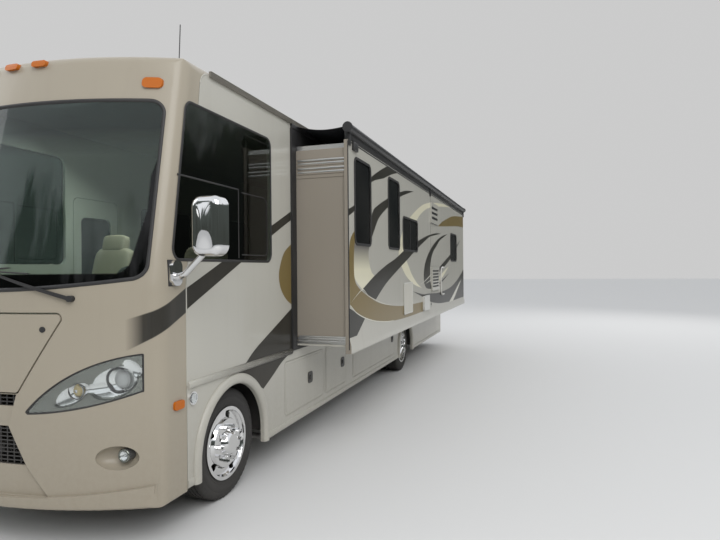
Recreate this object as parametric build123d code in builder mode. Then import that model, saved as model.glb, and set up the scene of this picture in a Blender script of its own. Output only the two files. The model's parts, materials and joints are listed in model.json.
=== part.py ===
from build123d import *
import os
from math import cos, radians, sin, sqrt

os.makedirs("parts", exist_ok=True)

# A gasoline class A motorhome with a full-wall slide-out room on the driver's side.
# Millimetres. +X is the coach's left, +Y runs rearwards, +Z is up from the ground.
# Stations are measured rearwards from a datum just ahead of the bumper, and widths
# from the coach's centreline. These two values put that frame on the model's origin.
centreline_x = -98.0
datum_y = -5805.0

# Overall body
half_width = 1282.0
bumper_y = 100.0
rear_y = 11400.0
tail_depth = 200.0
skirt_z = 325.0
belt_z = 1080.0
roof_z = 3510.0
wall_thickness = 40.0
cap_thickness = 30.0
panel_gap = 6.0
hood_gap = 12.0

# Nose, in plan one wide arc with rounded corners, upright below and leaning above
nose_radius = 2670.0
nose_corner_radius = 230.0
lean_z = 1820.0
lean_slope = 0.174
cap_top_radius = 75.0
seam_y = 690.0
cap_roof_y = 1100.0
seam_slope = 0.128
seam_corner_radius = 110.0
windscreen_pillar = 102.0
windscreen_top_z = 3157.0
windscreen_corner_z = 1885.0
windscreen_bottom_z = 1800.0
cab_window_rear_y = 2040.0
cab_window_sill_z = 2005.0
cab_window_head_z = 3180.0
hood_bottom_z = 1094.0
hood_top_z = 1635.0
hood_bottom_half = 313.0
hood_top_half = 665.0
cheek_waist_x = 243.0
cheek_waist_z = 862.0
cheek_knee_x = 385.0
cheek_knee_z = 589.0
cheek_foot_x = 545.0
cheek_foot_z = 385.0
recess_depth = 22.0
headlamp_inner_x = 374.0
headlamp_outer_inset = 117.0
headlamp_depth = 96.0
fog_x = 1003.0
fog_z = 651.0
fog_half_width = 146.0
fog_half_height = 82.0
fog_lamp_x = 1035.0
fog_lamp_z = 663.0
fog_lamp_radius = 46.0
lip_bottom_z = 300.0
lip_middle_z = 373.0
lip_end_z = 464.0
lip_proud = 22.0

# Floors and frame rails
floor_top_z = 1100.0
floor_thickness = 50.0
joist_depth = 50.0
rail_x = 432.0
rail_depth = 254.0
rail_flange = 75.0
rail_web = 10.0
rail_bottom_z = 560.0
frame_front_y = 420.0

# Axles and wheels
front_axle_y = 1354.0
wheelbase = 6150.0
axle_z = 460.0
tyre_radius = 460.0
tyre_width = 250.0
bead_radius = 288.0
rim_lip_radius = 303.0
rim_lip_width = 16.0
wheel_inset = 194.0
dual_spacing = 310.0
kingpin_inset = 198.0
arch_radius = 500.0
arch_flare = 88.0
bearing_gap = 0.5

# Slide-out room, drawn extended
slide_out = 607.0
slide_front_y = 2570.0
slide_rear_margin = 50.0
slide_bottom_z = 1060.0
slide_top_z = 3255.0
slide_panel = 45.0
slide_lap = 15.0
slide_gap = 12.0
slide_inner_overlap = 90.0

windscreen_half_width = half_width - windscreen_pillar
headlamp_outer_x = half_width - headlamp_outer_inset
front_wheel_x = half_width - wheel_inset
kingpin_x = front_wheel_x - kingpin_inset
rear_cap_y = rear_y - tail_depth
slide_rear_y = rear_cap_y - slide_rear_margin
rear_axle_y = front_axle_y + wheelbase
rail_top_z = rail_bottom_z + rail_depth
floor_bottom_z = floor_top_z - floor_thickness
joist_bottom_z = floor_bottom_z - joist_depth
length_inside = rear_y - cap_thickness
wall_top_z = roof_z - floor_thickness


def level(z):
    """Horizontal plane at a height: local x across the coach, local y rearwards."""
    return Plane(origin=(centreline_x, datum_y, z), x_dir=(1, 0, 0), z_dir=(0, 0, 1))


def side(x):
    """Upright plane along the coach: local x rearwards, local y up, facing left."""
    return Plane(origin=(centreline_x + x, datum_y, 0), x_dir=(0, 1, 0), z_dir=(1, 0, 0))


def across(y):
    """Upright plane across the coach: local x to the left, local y up, facing forwards."""
    return Plane(origin=(centreline_x, datum_y + y, 0), x_dir=(1, 0, 0), z_dir=(0, -1, 0))


def at(x, y, z):
    """A point given by width, station and height."""
    return (centreline_x + x, datum_y + y, z)


def front_face_y(x, z, inset=0.0):
    """Station of the nose's surface at a width and height, away from its corners."""
    radius = nose_radius - inset
    sagitta = radius - sqrt(radius**2 - x**2)
    return bumper_y + inset + sagitta + max(z - lean_z, 0.0) * lean_slope


def seam_station(z):
    """Station of the joint between the front cap and the side walls."""
    return seam_y + max(z - lean_z, 0.0) * seam_slope


def nose_face(inset):
    """Plan outline of the nose, pulled in by a wall's thickness."""
    half = half_width - inset
    corner_y = front_face_y(half, 0, inset)
    back_y = cap_roof_y + 400.0
    with BuildSketch(Plane.XY, mode=Mode.PRIVATE) as outline:
        with BuildLine():
            ThreePointArc((-half, corner_y), (0, bumper_y + inset), (half, corner_y))
            Polyline((half, corner_y), (half, back_y), (-half, back_y), (-half, corner_y))
        make_face()
        front_corners = vertices().group_by(Axis.Y)[1]
        fillet(front_corners, nose_corner_radius - inset)
    return outline.sketch_local


def nose_block(inset, bottom_z, top_z):
    """Solid nose, pulled in by a wall's thickness, with its top edge rounded."""
    rise = top_z - inset - lean_z
    with BuildPart(mode=Mode.PRIVATE) as block:
        with BuildSketch(level(bottom_z)):
            add(nose_face(inset))
        extrude(amount=lean_z - bottom_z)
        with BuildSketch(level(lean_z)):
            add(nose_face(inset))
        extrude(amount=rise * sqrt(1 + lean_slope**2), dir=(0, lean_slope, 1))
        top_edges = block.faces().sort_by(Axis.Z)[-1].edges().sort_by(Axis.Y)
        fillet(top_edges[:-1], cap_top_radius - inset / 2)
    return block.part


def cap_side_profile(gap):
    """Side outline that the front cap fills, up to its joint with the side walls."""
    top = roof_z + 100.0
    bottom = lip_bottom_z - 100.0
    rail_z = wall_top_z + gap
    seam_top_y = seam_station(rail_z) - gap
    with BuildSketch(Plane.XY, mode=Mode.PRIVATE) as outline:
        with BuildLine():
            Polyline(
                (0, bottom),
                (seam_y - gap, bottom),
                (seam_y - gap, lean_z),
                (seam_top_y, rail_z),
                (cap_roof_y - gap, rail_z),
                (cap_roof_y - gap, top),
                (0, top),
                close=True,
            )
        make_face()
        fillet(vertices().sort_by_distance((seam_top_y, rail_z))[0], seam_corner_radius + gap)
    return outline.sketch_local


def windscreen_outline():
    """Front view of the windscreen, the same on both sides, with a bowed lower edge."""
    half = windscreen_half_width
    with BuildSketch(Plane.XY, mode=Mode.PRIVATE) as outline:
        with BuildLine():
            ThreePointArc((-half, windscreen_corner_z), (0, windscreen_bottom_z), (half, windscreen_corner_z))
            Polyline(
                (half, windscreen_corner_z),
                (half, windscreen_top_z),
                (-half, windscreen_top_z),
                (-half, windscreen_corner_z),
            )
        make_face()
        fillet(vertices(), 100)
    return outline.sketch_local


def cab_window_outline():
    """Side view of the cab window, which runs from the front pillar past the seam."""
    with BuildSketch(Plane.XY, mode=Mode.PRIVATE) as outline:
        with BuildLine():
            Polyline(
                (530, cab_window_sill_z),
                (cab_window_rear_y, cab_window_sill_z),
                (cab_window_rear_y, cab_window_head_z),
                (712, cab_window_head_z),
                close=True,
            )
        make_face()
        fillet(vertices(), 80)
    return outline.sketch_local


def hood_outline(gap=0.0):
    """Front view of the hood: wide at the top, narrow above the grille."""
    with BuildSketch(Plane.XY, mode=Mode.PRIVATE) as outline:
        with BuildLine():
            Polyline(
                (-hood_bottom_half, hood_bottom_z),
                (hood_bottom_half, hood_bottom_z),
                (hood_top_half, hood_top_z),
                (-hood_top_half, hood_top_z),
                close=True,
            )
        make_face()
        fillet(vertices(), 30)
        if gap:
            offset(amount=gap)
    return outline.sketch_local


def recess_outline(margin=0.0):
    """Front view of the set-back middle of the nose, between its proud cheeks."""
    with BuildSketch(Plane.XY, mode=Mode.PRIVATE) as outline:
        with BuildLine():
            Polyline(
                (-hood_bottom_half, hood_bottom_z),
                (hood_bottom_half, hood_bottom_z),
                (cheek_waist_x, cheek_waist_z),
                (cheek_knee_x, cheek_knee_z),
                (cheek_foot_x, cheek_foot_z),
                (-cheek_foot_x, cheek_foot_z),
                (-cheek_knee_x, cheek_knee_z),
                (-cheek_waist_x, cheek_waist_z),
                close=True,
            )
        make_face()
        if margin:
            offset(amount=margin, kind=Kind.INTERSECTION)
    return outline.sketch_local


grille_bands = (
    # bottom, top: the wide lower grille and the narrow slot under the hood
    (cheek_knee_z, 855.0),
    (995.0, 1075.0),
)
grille_frame = 5.0


def grille_outlines():
    """Front view of both grille openings, as wide as the set-back middle lets them be."""
    with BuildSketch(Plane.XY, mode=Mode.PRIVATE) as outline:
        for bottom, top in grille_bands:
            with Locations((0, (bottom + top) / 2)):
                Rectangle(2 * hood_top_half, top - bottom)
        add(recess_outline(-grille_frame), mode=Mode.INTERSECT)
    return outline.sketch_local


def headlamp_outlines(gap=0.0):
    """Front view of both headlamps: leaves with their points inboard."""
    tip_z = 962.0
    foot_z = 945.0
    with BuildSketch(Plane.XY, mode=Mode.PRIVATE) as outline:
        with BuildLine():
            ThreePointArc(
                (headlamp_inner_x, tip_z), (headlamp_inner_x + 351, tip_z + 270), (headlamp_outer_x, tip_z + 400)
            )
            Line((headlamp_outer_x, tip_z + 400), (headlamp_outer_x, foot_z + 155))
            ThreePointArc(
                (headlamp_outer_x, foot_z + 155), (headlamp_inner_x + 479, foot_z + 61), (headlamp_inner_x + 20, foot_z)
            )
            Line((headlamp_inner_x + 20, foot_z), (headlamp_inner_x, tip_z))
        make_face()
        fillet(vertices(), 10)
        if gap:
            offset(amount=-gap)
        mirror(about=Plane.YZ)
    return outline.sketch_local


def fog_outlines(margin=0.0):
    """Front view of the two oval hollows that the fog lamps look out of."""
    with BuildSketch(Plane.XY, mode=Mode.PRIVATE) as outline:
        with Locations((-fog_x, fog_z), (fog_x, fog_z)):
            Ellipse(fog_half_width + margin, fog_half_height + margin)
    return outline.sketch_local


def fog_dish(hand):
    """Egg-shaped hollow round a fog lamp, its long axis along the nose's curve."""
    slope = fog_x / sqrt(nose_radius**2 - fog_x**2)
    along = (hand, slope, 0)
    centre = at(hand * fog_x, front_face_y(fog_x, 0), fog_z)
    with BuildPart(mode=Mode.PRIVATE) as dish:
        with BuildSketch(Plane(origin=centre, x_dir=along, z_dir=(0, 0, 1))):
            Ellipse(fog_half_width, fog_half_height)
            with Locations((0, -fog_half_height)):
                Rectangle(3 * fog_half_width, 2 * fog_half_height, mode=Mode.SUBTRACT)
        revolve(axis=Axis(centre, along))
    return dish.part


def lip_block():
    """Rolled lower lip: the nose's own plan moved forwards, so flush at the sides."""
    height = lip_end_z - lip_bottom_z
    reach = half_width + 10
    with BuildPart(mode=Mode.PRIVATE) as lip:
        with BuildSketch(level(lip_bottom_z)):
            add(nose_face(0))
        extrude(amount=height)
        bottom_edges = lip.faces().sort_by(Axis.Z)[0].edges().sort_by(Axis.Y)
        fillet(bottom_edges[:-1], lip_proud)
        with BuildSketch(level(lip_bottom_z - 10)):
            add(nose_face(cap_thickness + lip_proud))
        extrude(amount=height + 20, mode=Mode.SUBTRACT)
        with BuildSketch(across(0)):
            with BuildLine():
                ThreePointArc((-reach, lip_end_z), (0, lip_middle_z), (reach, lip_end_z))
                Polyline((reach, lip_end_z), (reach, lip_bottom_z), (-reach, lip_bottom_z), (-reach, lip_end_z))
            make_face()
        extrude(amount=-2 * nose_cut_depth, mode=Mode.INTERSECT)
    return lip.part.moved(Location((0, -lip_proud, 0)))


nose_cut_depth = 700.0



def nose_panel(outline, outer_inset, thickness):
    """A piece of the nose's curved skin, cut to a front-view outline."""
    with BuildPart(mode=Mode.PRIVATE) as panel:
        add(nose_block(outer_inset, skirt_z, roof_z))
        add(nose_block(outer_inset + thickness, skirt_z - 10, roof_z), mode=Mode.SUBTRACT)
        with BuildSketch(across(0)):
            add(outline)
        extrude(amount=-nose_cut_depth, mode=Mode.INTERSECT)
    return panel.part


panel_overlap = 15.0
cap_openings = (windscreen_outline(), hood_outline(hood_gap), recess_outline(), headlamp_outlines())
middle_openings = (hood_outline(hood_gap), grille_outlines())

with BuildPart() as front_cap:
    add(nose_block(0, skirt_z, roof_z))
    add(nose_block(cap_thickness, skirt_z - 10, roof_z), mode=Mode.SUBTRACT)
    add(lip_block())
    with BuildSketch(side(-half_width - 50)):
        add(cap_side_profile(panel_gap / 2))
    extrude(amount=2 * half_width + 100, mode=Mode.INTERSECT)
    for outline in cap_openings:
        with BuildSketch(across(0)):
            add(outline)
        extrude(amount=-nose_cut_depth, mode=Mode.SUBTRACT)
    with BuildSketch(side(-half_width - 50)):
        add(cab_window_outline())
    extrude(amount=2 * half_width + 100, mode=Mode.SUBTRACT)
    add(nose_panel(recess_outline(panel_overlap), recess_depth, cap_thickness))
    for outline in middle_openings:
        with BuildSketch(across(0)):
            add(outline)
        extrude(amount=-nose_cut_depth, mode=Mode.SUBTRACT)
    add(nose_panel(fog_outlines(panel_overlap), recess_depth, fog_half_height + cap_thickness))
    for hand in (1, -1):
        add(fog_dish(hand), mode=Mode.SUBTRACT)
        with BuildSketch(across(0)):
            with Locations((hand * fog_lamp_x, fog_lamp_z)):
                Circle(fog_lamp_radius + 1)
        extrude(amount=-nose_cut_depth, mode=Mode.SUBTRACT)
front_cap.part.label = "front_cap"
export_step(front_cap.part, "parts/front_cap.step")

with BuildPart() as windscreen:
    add(nose_panel(windscreen_outline(), 2, 8))
windscreen.part.label = "windscreen"
export_step(windscreen.part, "parts/windscreen.step")

# Hood, with its two round locks
hood_thickness = 22.0
hood_lock_radius = 20.0
hood_lock_proud = 6.0
with BuildSketch(Plane.XY) as hood_locks:
    with Locations((-515, 1531), (515, 1531)):
        Circle(hood_lock_radius)
with BuildPart() as hood:
    add(nose_panel(hood_outline(), 0, hood_thickness))
    add(nose_panel(hood_locks.sketch, -hood_lock_proud, hood_lock_proud + 2))
hood.part.label = "hood"
export_step(hood.part, "parts/hood.step")

# Grilles: pierced plates behind the two openings of the nose's middle
grille_setback = 12.0
grille_thickness = 6.0
mesh_pitch_x = 56.0
mesh_pitch_z = 27.0
mesh_bar = 8.0
with BuildSketch(Plane.XY) as grille_mesh:
    add(grille_outlines())
    with Locations((0, (grille_bands[0][0] + grille_bands[1][1]) / 2)):
        with GridLocations(mesh_pitch_x, mesh_pitch_z, 17, 18):
            Rectangle(mesh_pitch_x - mesh_bar, mesh_pitch_z - mesh_bar, mode=Mode.SUBTRACT)
with BuildPart() as grilles:
    add(nose_panel(grille_mesh.sketch, recess_depth + grille_setback, grille_thickness))
grilles.part.label = "grilles"
export_step(grilles.part, "parts/grilles.step")

# Lamps on the nose: headlamp housings with two bowls each, fog lamps and docking lamps
lens_setback = 3.0
lens_thickness = 5.0
housing_setback = 12.0
headlamp_bowls = (
    # width from the centreline, height, bowl radius, lamp radius
    (1005.0, 1179.0, 78.0, 44.0),
    (732.0, 1108.0, 54.0, 30.0),
)
bowl_lamp_length = 30.0
docking_lamp_y = 755.0
docking_lamp_z = 978.0
docking_lamp_radius = 50.0
docking_lamp_proud = 14.0
with BuildPart() as headlamps:
    add(nose_panel(headlamp_outlines(panel_gap / 2), housing_setback, headlamp_depth))
    for x, z, bowl_radius, lamp_radius in headlamp_bowls:
        face_y = front_face_y(x, z) + housing_setback
        with Locations(at(-x, face_y, z), at(x, face_y, z)):
            Sphere(bowl_radius, mode=Mode.SUBTRACT)
        with BuildSketch(across(face_y + bowl_radius)):
            with Locations((-x, z), (x, z)):
                Circle(lamp_radius)
        extrude(amount=bowl_lamp_length)
    fog_face_y = front_face_y(fog_lamp_x, fog_lamp_z)
    with BuildSketch(across(fog_face_y + headlamp_depth)):
        with Locations((-fog_lamp_x, fog_lamp_z), (fog_lamp_x, fog_lamp_z)):
            Circle(fog_lamp_radius)
    extrude(amount=headlamp_depth - 20)
    for hand in (1, -1):
        with BuildSketch(side(hand * half_width)):
            with Locations((docking_lamp_y, docking_lamp_z)):
                Circle(docking_lamp_radius)
        extrude(amount=hand * docking_lamp_proud)
headlamps.part.label = "headlamps"
export_step(headlamps.part, "parts/headlamps.step")

with BuildPart() as lamp_lenses:
    add(nose_panel(headlamp_outlines(panel_gap / 2), lens_setback, lens_thickness))
    with BuildSketch(across(fog_face_y + 19)):
        with Locations((-fog_lamp_x, fog_lamp_z), (fog_lamp_x, fog_lamp_z)):
            Circle(fog_lamp_radius - 5)
    extrude(amount=lens_thickness)
    for hand in (1, -1):
        with BuildSketch(side(hand * (half_width + docking_lamp_proud + 1))):
            with Locations((docking_lamp_y, docking_lamp_z)):
                Circle(docking_lamp_radius - 12)
        extrude(amount=hand * lens_thickness)
lamp_lenses.part.label = "lamp_lenses"
export_step(lamp_lenses.part, "parts/lamp_lenses.step")

# Side walls: flat laminated panels from the belt line to the roof
opening_front_y = slide_front_y + slide_lap
opening_rear_y = slide_rear_y - slide_lap
opening_bottom_z = floor_top_z + 15.0
opening_top_z = slide_top_z - 18.0
door_front_y = 2150.0
door_rear_y = 2830.0
door_bottom_z = 640.0
door_top_z = 2760.0
door_corner_radius = 70.0
right_windows = (
    # front station, rear station, sill, head
    (3250.0, 4350.0, 2050.0, 2750.0),
    (5200.0, 6100.0, 2050.0, 2750.0),
    (rear_y - 3000.0, rear_y - 2100.0, 2050.0, 2750.0),
)
window_corner_radius = 80.0


def side_rectangle(y0, y1, z0, z1, radius):
    """Rounded rectangle in a side view, by its two stations and two heights."""
    with Locations(((y0 + y1) / 2, (z0 + z1) / 2)):
        RectangleRounded(y1 - y0, z1 - z0, radius)


def wall_outline():
    """Side view of a side wall, with its front edge along the cap's joint."""
    gap = panel_gap / 2
    seam_top_y = seam_station(wall_top_z) + gap
    with BuildSketch(Plane.XY, mode=Mode.PRIVATE) as outline:
        with BuildLine():
            Polyline(
                (seam_y + gap, belt_z),
                (seam_y + gap, lean_z),
                (seam_top_y, wall_top_z),
                (rear_cap_y - gap, wall_top_z),
                (rear_cap_y - gap, belt_z),
                close=True,
            )
        make_face()
        fillet(vertices().sort_by_distance((seam_top_y, wall_top_z))[0], seam_corner_radius)
    return outline.sketch_local


with BuildPart() as left_wall:
    with BuildSketch(side(half_width - wall_thickness)):
        add(wall_outline())
    extrude(amount=wall_thickness)
    with BuildSketch(side(half_width - wall_thickness)):
        add(cab_window_outline())
    extrude(amount=wall_thickness, mode=Mode.SUBTRACT)
    with BuildSketch(side(half_width - wall_thickness)):
        with Locations(((opening_front_y + opening_rear_y) / 2, (opening_bottom_z + opening_top_z) / 2)):
            Rectangle(opening_rear_y - opening_front_y, opening_top_z - opening_bottom_z)
    extrude(amount=wall_thickness, mode=Mode.SUBTRACT)
left_wall.part.label = "left_wall"
export_step(left_wall.part, "parts/left_wall.step")

with BuildPart() as right_wall:
    with BuildSketch(side(-half_width)):
        add(wall_outline())
    extrude(amount=wall_thickness)
    with BuildSketch(side(-half_width)):
        add(cab_window_outline())
        for front, rear, sill, head in right_windows:
            side_rectangle(front, rear, sill, head, window_corner_radius)
        side_rectangle(
            door_front_y - panel_gap,
            door_rear_y + panel_gap,
            door_bottom_z - panel_gap,
            door_top_z + panel_gap,
            door_corner_radius,
        )
    extrude(amount=wall_thickness, mode=Mode.SUBTRACT)
right_wall.part.label = "right_wall"
export_step(right_wall.part, "parts/right_wall.step")

# Basement walls below the belt, with wheel arches and baggage door openings
bay_sill_z = 440.0
bay_head_z = 990.0
bay_corner_radius = 55.0
basement_thickness = 30.0
skirt_roll_height = 64.0
skirt_roll_proud = 11.0
left_bays = (
    # name, front station, rear station, latch station
    ("left_bay_door_front", 2300.0, 3350.0, 2945.0),
    ("left_bay_door_middle", 3400.0, 4150.0, 4000.0),
    ("left_bay_door_rear", 4400.0, 6650.0, 6500.0),
)
right_bays = (
    # name, front station, rear station, latch station
    ("right_bay_door_front", 3050.0, 4600.0, 3825.0),
    ("right_bay_door_rear", 4700.0, 6650.0, 5675.0),
)


with BuildPart() as basement_walls:
    for wall_x, bays in ((half_width - basement_thickness, left_bays), (-half_width, right_bays)):
        with BuildSketch(side(wall_x)):
            with Locations(((seam_y + rear_cap_y) / 2, (skirt_z + belt_z) / 2)):
                Rectangle(rear_cap_y - seam_y - panel_gap, belt_z - skirt_z)
            for axle_y in (front_axle_y, rear_axle_y):
                with Locations((axle_y, axle_z)):
                    Circle(arch_radius, mode=Mode.SUBTRACT)
                with Locations((axle_y, (axle_z + skirt_z) / 2 - 50)):
                    Rectangle(2 * arch_radius, axle_z - skirt_z + 100, mode=Mode.SUBTRACT)
            for name, front, rear, latch in bays:
                with Locations(((front + rear) / 2, (bay_sill_z + bay_head_z) / 2)):
                    RectangleRounded(
                        rear - front, bay_head_z - bay_sill_z, bay_corner_radius, mode=Mode.SUBTRACT
                    )
            if wall_x < 0:
                with Locations(((door_front_y + door_rear_y) / 2, (door_bottom_z + belt_z) / 2)):
                    Rectangle(
                        door_rear_y - door_front_y + 2 * panel_gap,
                        belt_z - door_bottom_z + 2 * panel_gap,
                        mode=Mode.SUBTRACT,
                    )
        extrude(amount=basement_thickness)
    skirt_runs = (
        # front station, rear station
        (seam_y + panel_gap, front_axle_y - arch_radius - arch_flare),
        (front_axle_y + arch_radius + arch_flare, rear_axle_y - arch_radius - arch_flare),
        (rear_axle_y + arch_radius + arch_flare, rear_cap_y - panel_gap),
    )
    for hand in (1, -1):
        for front, rear in skirt_runs:
            with BuildSketch(across(front)):
                with Locations((hand * (half_width - 1), skirt_z + skirt_roll_height / 2)):
                    Ellipse(skirt_roll_proud, skirt_roll_height / 2)
            extrude(amount=-(rear - front))
basement_walls.part.label = "basement_walls"
export_step(basement_walls.part, "parts/basement_walls.step")

bay_door_thickness = 26.0
bay_door_gap = 7.0
bay_door_rim = 32.0
bay_door_raise = 3.0
latch_z = 725.0
latch_size = 125.0
latch_proud = 9.0
latch_button_radius = 26.0
for hand, bays in ((1, left_bays), (-1, right_bays)):
    for name, front, rear, latch in bays:
        with BuildPart() as bay_door:
            with BuildSketch(side(hand * half_width)):
                side_rectangle(
                    front + bay_door_gap,
                    rear - bay_door_gap,
                    bay_sill_z + bay_door_gap,
                    bay_head_z - bay_door_gap,
                    bay_corner_radius - bay_door_gap,
                )
            extrude(amount=-hand * bay_door_thickness)
            with BuildSketch(side(hand * half_width)):
                side_rectangle(
                    front + bay_door_rim,
                    rear - bay_door_rim,
                    bay_sill_z + bay_door_rim,
                    bay_head_z - bay_door_rim,
                    bay_corner_radius - bay_door_rim / 2,
                )
            extrude(amount=hand * bay_door_raise)
            with BuildSketch(side(hand * half_width)):
                with Locations((latch, latch_z)):
                    RectangleRounded(latch_size, latch_size, latch_size / 4)
            extrude(amount=hand * latch_proud)
            with BuildSketch(side(hand * half_width)):
                with Locations((latch, latch_z)):
                    Circle(latch_button_radius)
            extrude(amount=hand * 2 * latch_proud)
        bay_door.part.label = name
        export_step(bay_door.part, f"parts/{name}.step")

door_window_rim = 110.0
door_window_sill_z = 1700.0
door_window_head_z = 2550.0
door_handle_z = 1330.0


def door_window(margin):
    """Side view of the entry door's window, widened by a margin."""
    side_rectangle(
        door_front_y + door_window_rim - margin,
        door_rear_y - door_window_rim + margin,
        door_window_sill_z - margin,
        door_window_head_z + margin,
        door_corner_radius,
    )


with BuildPart() as entry_door:
    with BuildSketch(side(-half_width)):
        side_rectangle(door_front_y, door_rear_y, door_bottom_z, door_top_z, door_corner_radius)
    extrude(amount=wall_thickness)
    with BuildSketch(side(-half_width)):
        door_window(20)
    extrude(amount=-6)
    with BuildSketch(side(-half_width - 10)):
        door_window(0)
    extrude(amount=wall_thickness + 20, mode=Mode.SUBTRACT)
    with BuildSketch(side(-half_width + wall_thickness / 2 - 4)):
        door_window(0)
    extrude(amount=8)
    with BuildSketch(side(-half_width)):
        side_rectangle(door_rear_y - 100, door_rear_y - 30, door_handle_z - 80, door_handle_z + 80, 15)
    extrude(amount=-18)
entry_door.part.label = "entry_door"
export_step(entry_door.part, "parts/entry_door.step")

# Roof, floor and rear cap
with BuildPart() as roof:
    with BuildSketch(across(cap_roof_y + panel_gap / 2)):
        with Locations((0, (wall_top_z + roof_z) / 2)):
            Rectangle(2 * half_width, roof_z - wall_top_z)
        fillet(vertices().group_by(Axis.Y)[-1], 40)
    extrude(amount=-(rear_cap_y - cap_roof_y - panel_gap))
roof.part.label = "roof"
export_step(roof.part, "parts/roof.step")

tail_corner_radius = 140.0
step_depth = 620.0
step_sheet = 20.0
with BuildPart() as floor:
    inner_half = half_width - wall_thickness
    with BuildSketch(level(floor_bottom_z)):
        with Locations((0, (seam_y + length_inside) / 2)):
            Rectangle(2 * inner_half, length_inside - seam_y - 4)
        fillet(vertices().group_by(Axis.Y)[-1], tail_corner_radius)
    extrude(amount=floor_thickness)
    with BuildSketch(level(floor_bottom_z)):
        with Locations((-inner_half + (step_depth - step_sheet) / 2, (door_front_y + door_rear_y) / 2)):
            Rectangle(step_depth - step_sheet, door_rear_y - door_front_y)
    extrude(amount=floor_thickness, mode=Mode.SUBTRACT)
floor.part.label = "floor"
export_step(floor.part, "parts/floor.step")


def tail_block(inset, bottom_z):
    """Solid tail, pulled in by a wall's thickness, with rounded corners and top."""
    with BuildPart(mode=Mode.PRIVATE) as block:
        with BuildSketch(level(bottom_z)):
            front = rear_cap_y - 200
            with Locations((0, (front + rear_y - inset) / 2)):
                Rectangle(2 * (half_width - inset), rear_y - inset - front)
            fillet(vertices().group_by(Axis.Y)[-1], tail_corner_radius - inset)
        extrude(amount=roof_z - inset - bottom_z)
        top_edges = block.faces().sort_by(Axis.Z)[-1].edges().sort_by(Axis.Y)
        fillet(top_edges[1:], 40)
        with BuildSketch(level(bottom_z)):
            with Locations((0, rear_cap_y - 150)):
                Rectangle(2 * half_width + 100, 300)
        extrude(amount=roof_z, mode=Mode.SUBTRACT)
    return block.part


with BuildPart() as rear_cap:
    add(tail_block(0, skirt_z))
    add(tail_block(cap_thickness, skirt_z - 10), mode=Mode.SUBTRACT)
    with BuildSketch(across(rear_y + 10)):
        with Locations((0, skirt_z + 130)):
            Rectangle(500, 261)
    extrude(amount=200, mode=Mode.SUBTRACT)
rear_cap.part.label = "rear_cap"
export_step(rear_cap.part, "parts/rear_cap.step")

# Window glass: both cab windows and the right wall's panes
glass_thickness = 6.0
with BuildPart() as fixed_windows:
    for hand in (1, -1):
        with BuildSketch(side(hand * (half_width - glass_thickness))):
            add(cab_window_outline())
        extrude(amount=hand * glass_thickness)
    with BuildSketch(side(-half_width + 10)):
        for front, rear, sill, head in right_windows:
            side_rectangle(front, rear, sill, head, window_corner_radius)
    extrude(amount=glass_thickness)
fixed_windows.part.label = "fixed_windows"
export_step(fixed_windows.part, "parts/fixed_windows.step")

# Frame: two channel rails, with posts that carry the body's joists
frame_length = rear_y - 150.0 - frame_front_y
joist_stations = (540.0, 2080.0, 3370.0, 4280.0, 5600.0, 6700.0, 8350.0, rear_y - 1700.0, rear_y - 450.0)
crossmember_stations = (540.0, 2080.0, 3370.0, 4280.0, 5600.0, 8350.0, rear_y - 1700.0, rear_y - 450.0)
joist_width = 60.0
crossmember_width = 80.0
crossmember_depth = 90.0

with BuildPart() as chassis_frame:
    with BuildSketch(across(frame_front_y)):
        for hand in (1, -1):
            with Locations((hand * (rail_x - rail_flange / 2), rail_bottom_z + rail_depth / 2)):
                Rectangle(rail_flange, rail_depth)
            with Locations(
                (hand * (rail_x - rail_flange / 2 - rail_web), rail_bottom_z + rail_depth / 2)
            ):
                Rectangle(rail_flange, rail_depth - 2 * rail_web, mode=Mode.SUBTRACT)
    extrude(amount=-frame_length)
    for station in joist_stations:
        with BuildSketch(across(station - joist_width / 2)):
            for hand in (1, -1):
                with Locations((hand * (rail_x - joist_width / 2), (rail_top_z + joist_bottom_z) / 2)):
                    Rectangle(joist_width, joist_bottom_z - rail_top_z)
        extrude(amount=-joist_width)
chassis_frame.part.label = "chassis_frame"
export_step(chassis_frame.part, "parts/chassis_frame.step")

with BuildPart() as frame_crossmembers:
    for station in crossmember_stations:
        with BuildSketch(across(station - crossmember_width / 2)):
            with Locations((0, rail_top_z - rail_web - crossmember_depth / 2)):
                Rectangle(2 * rail_x - 2 * rail_web, crossmember_depth)
        extrude(amount=-crossmember_width)
    for station in joist_stations:
        with BuildSketch(across(station - joist_width / 2)):
            with Locations((0, floor_bottom_z - joist_depth / 2)):
                Rectangle(2 * (half_width - basement_thickness), joist_depth)
        extrude(amount=-joist_width)
frame_crossmembers.part.label = "frame_crossmembers"
export_step(frame_crossmembers.part, "parts/frame_crossmembers.step")

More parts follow.
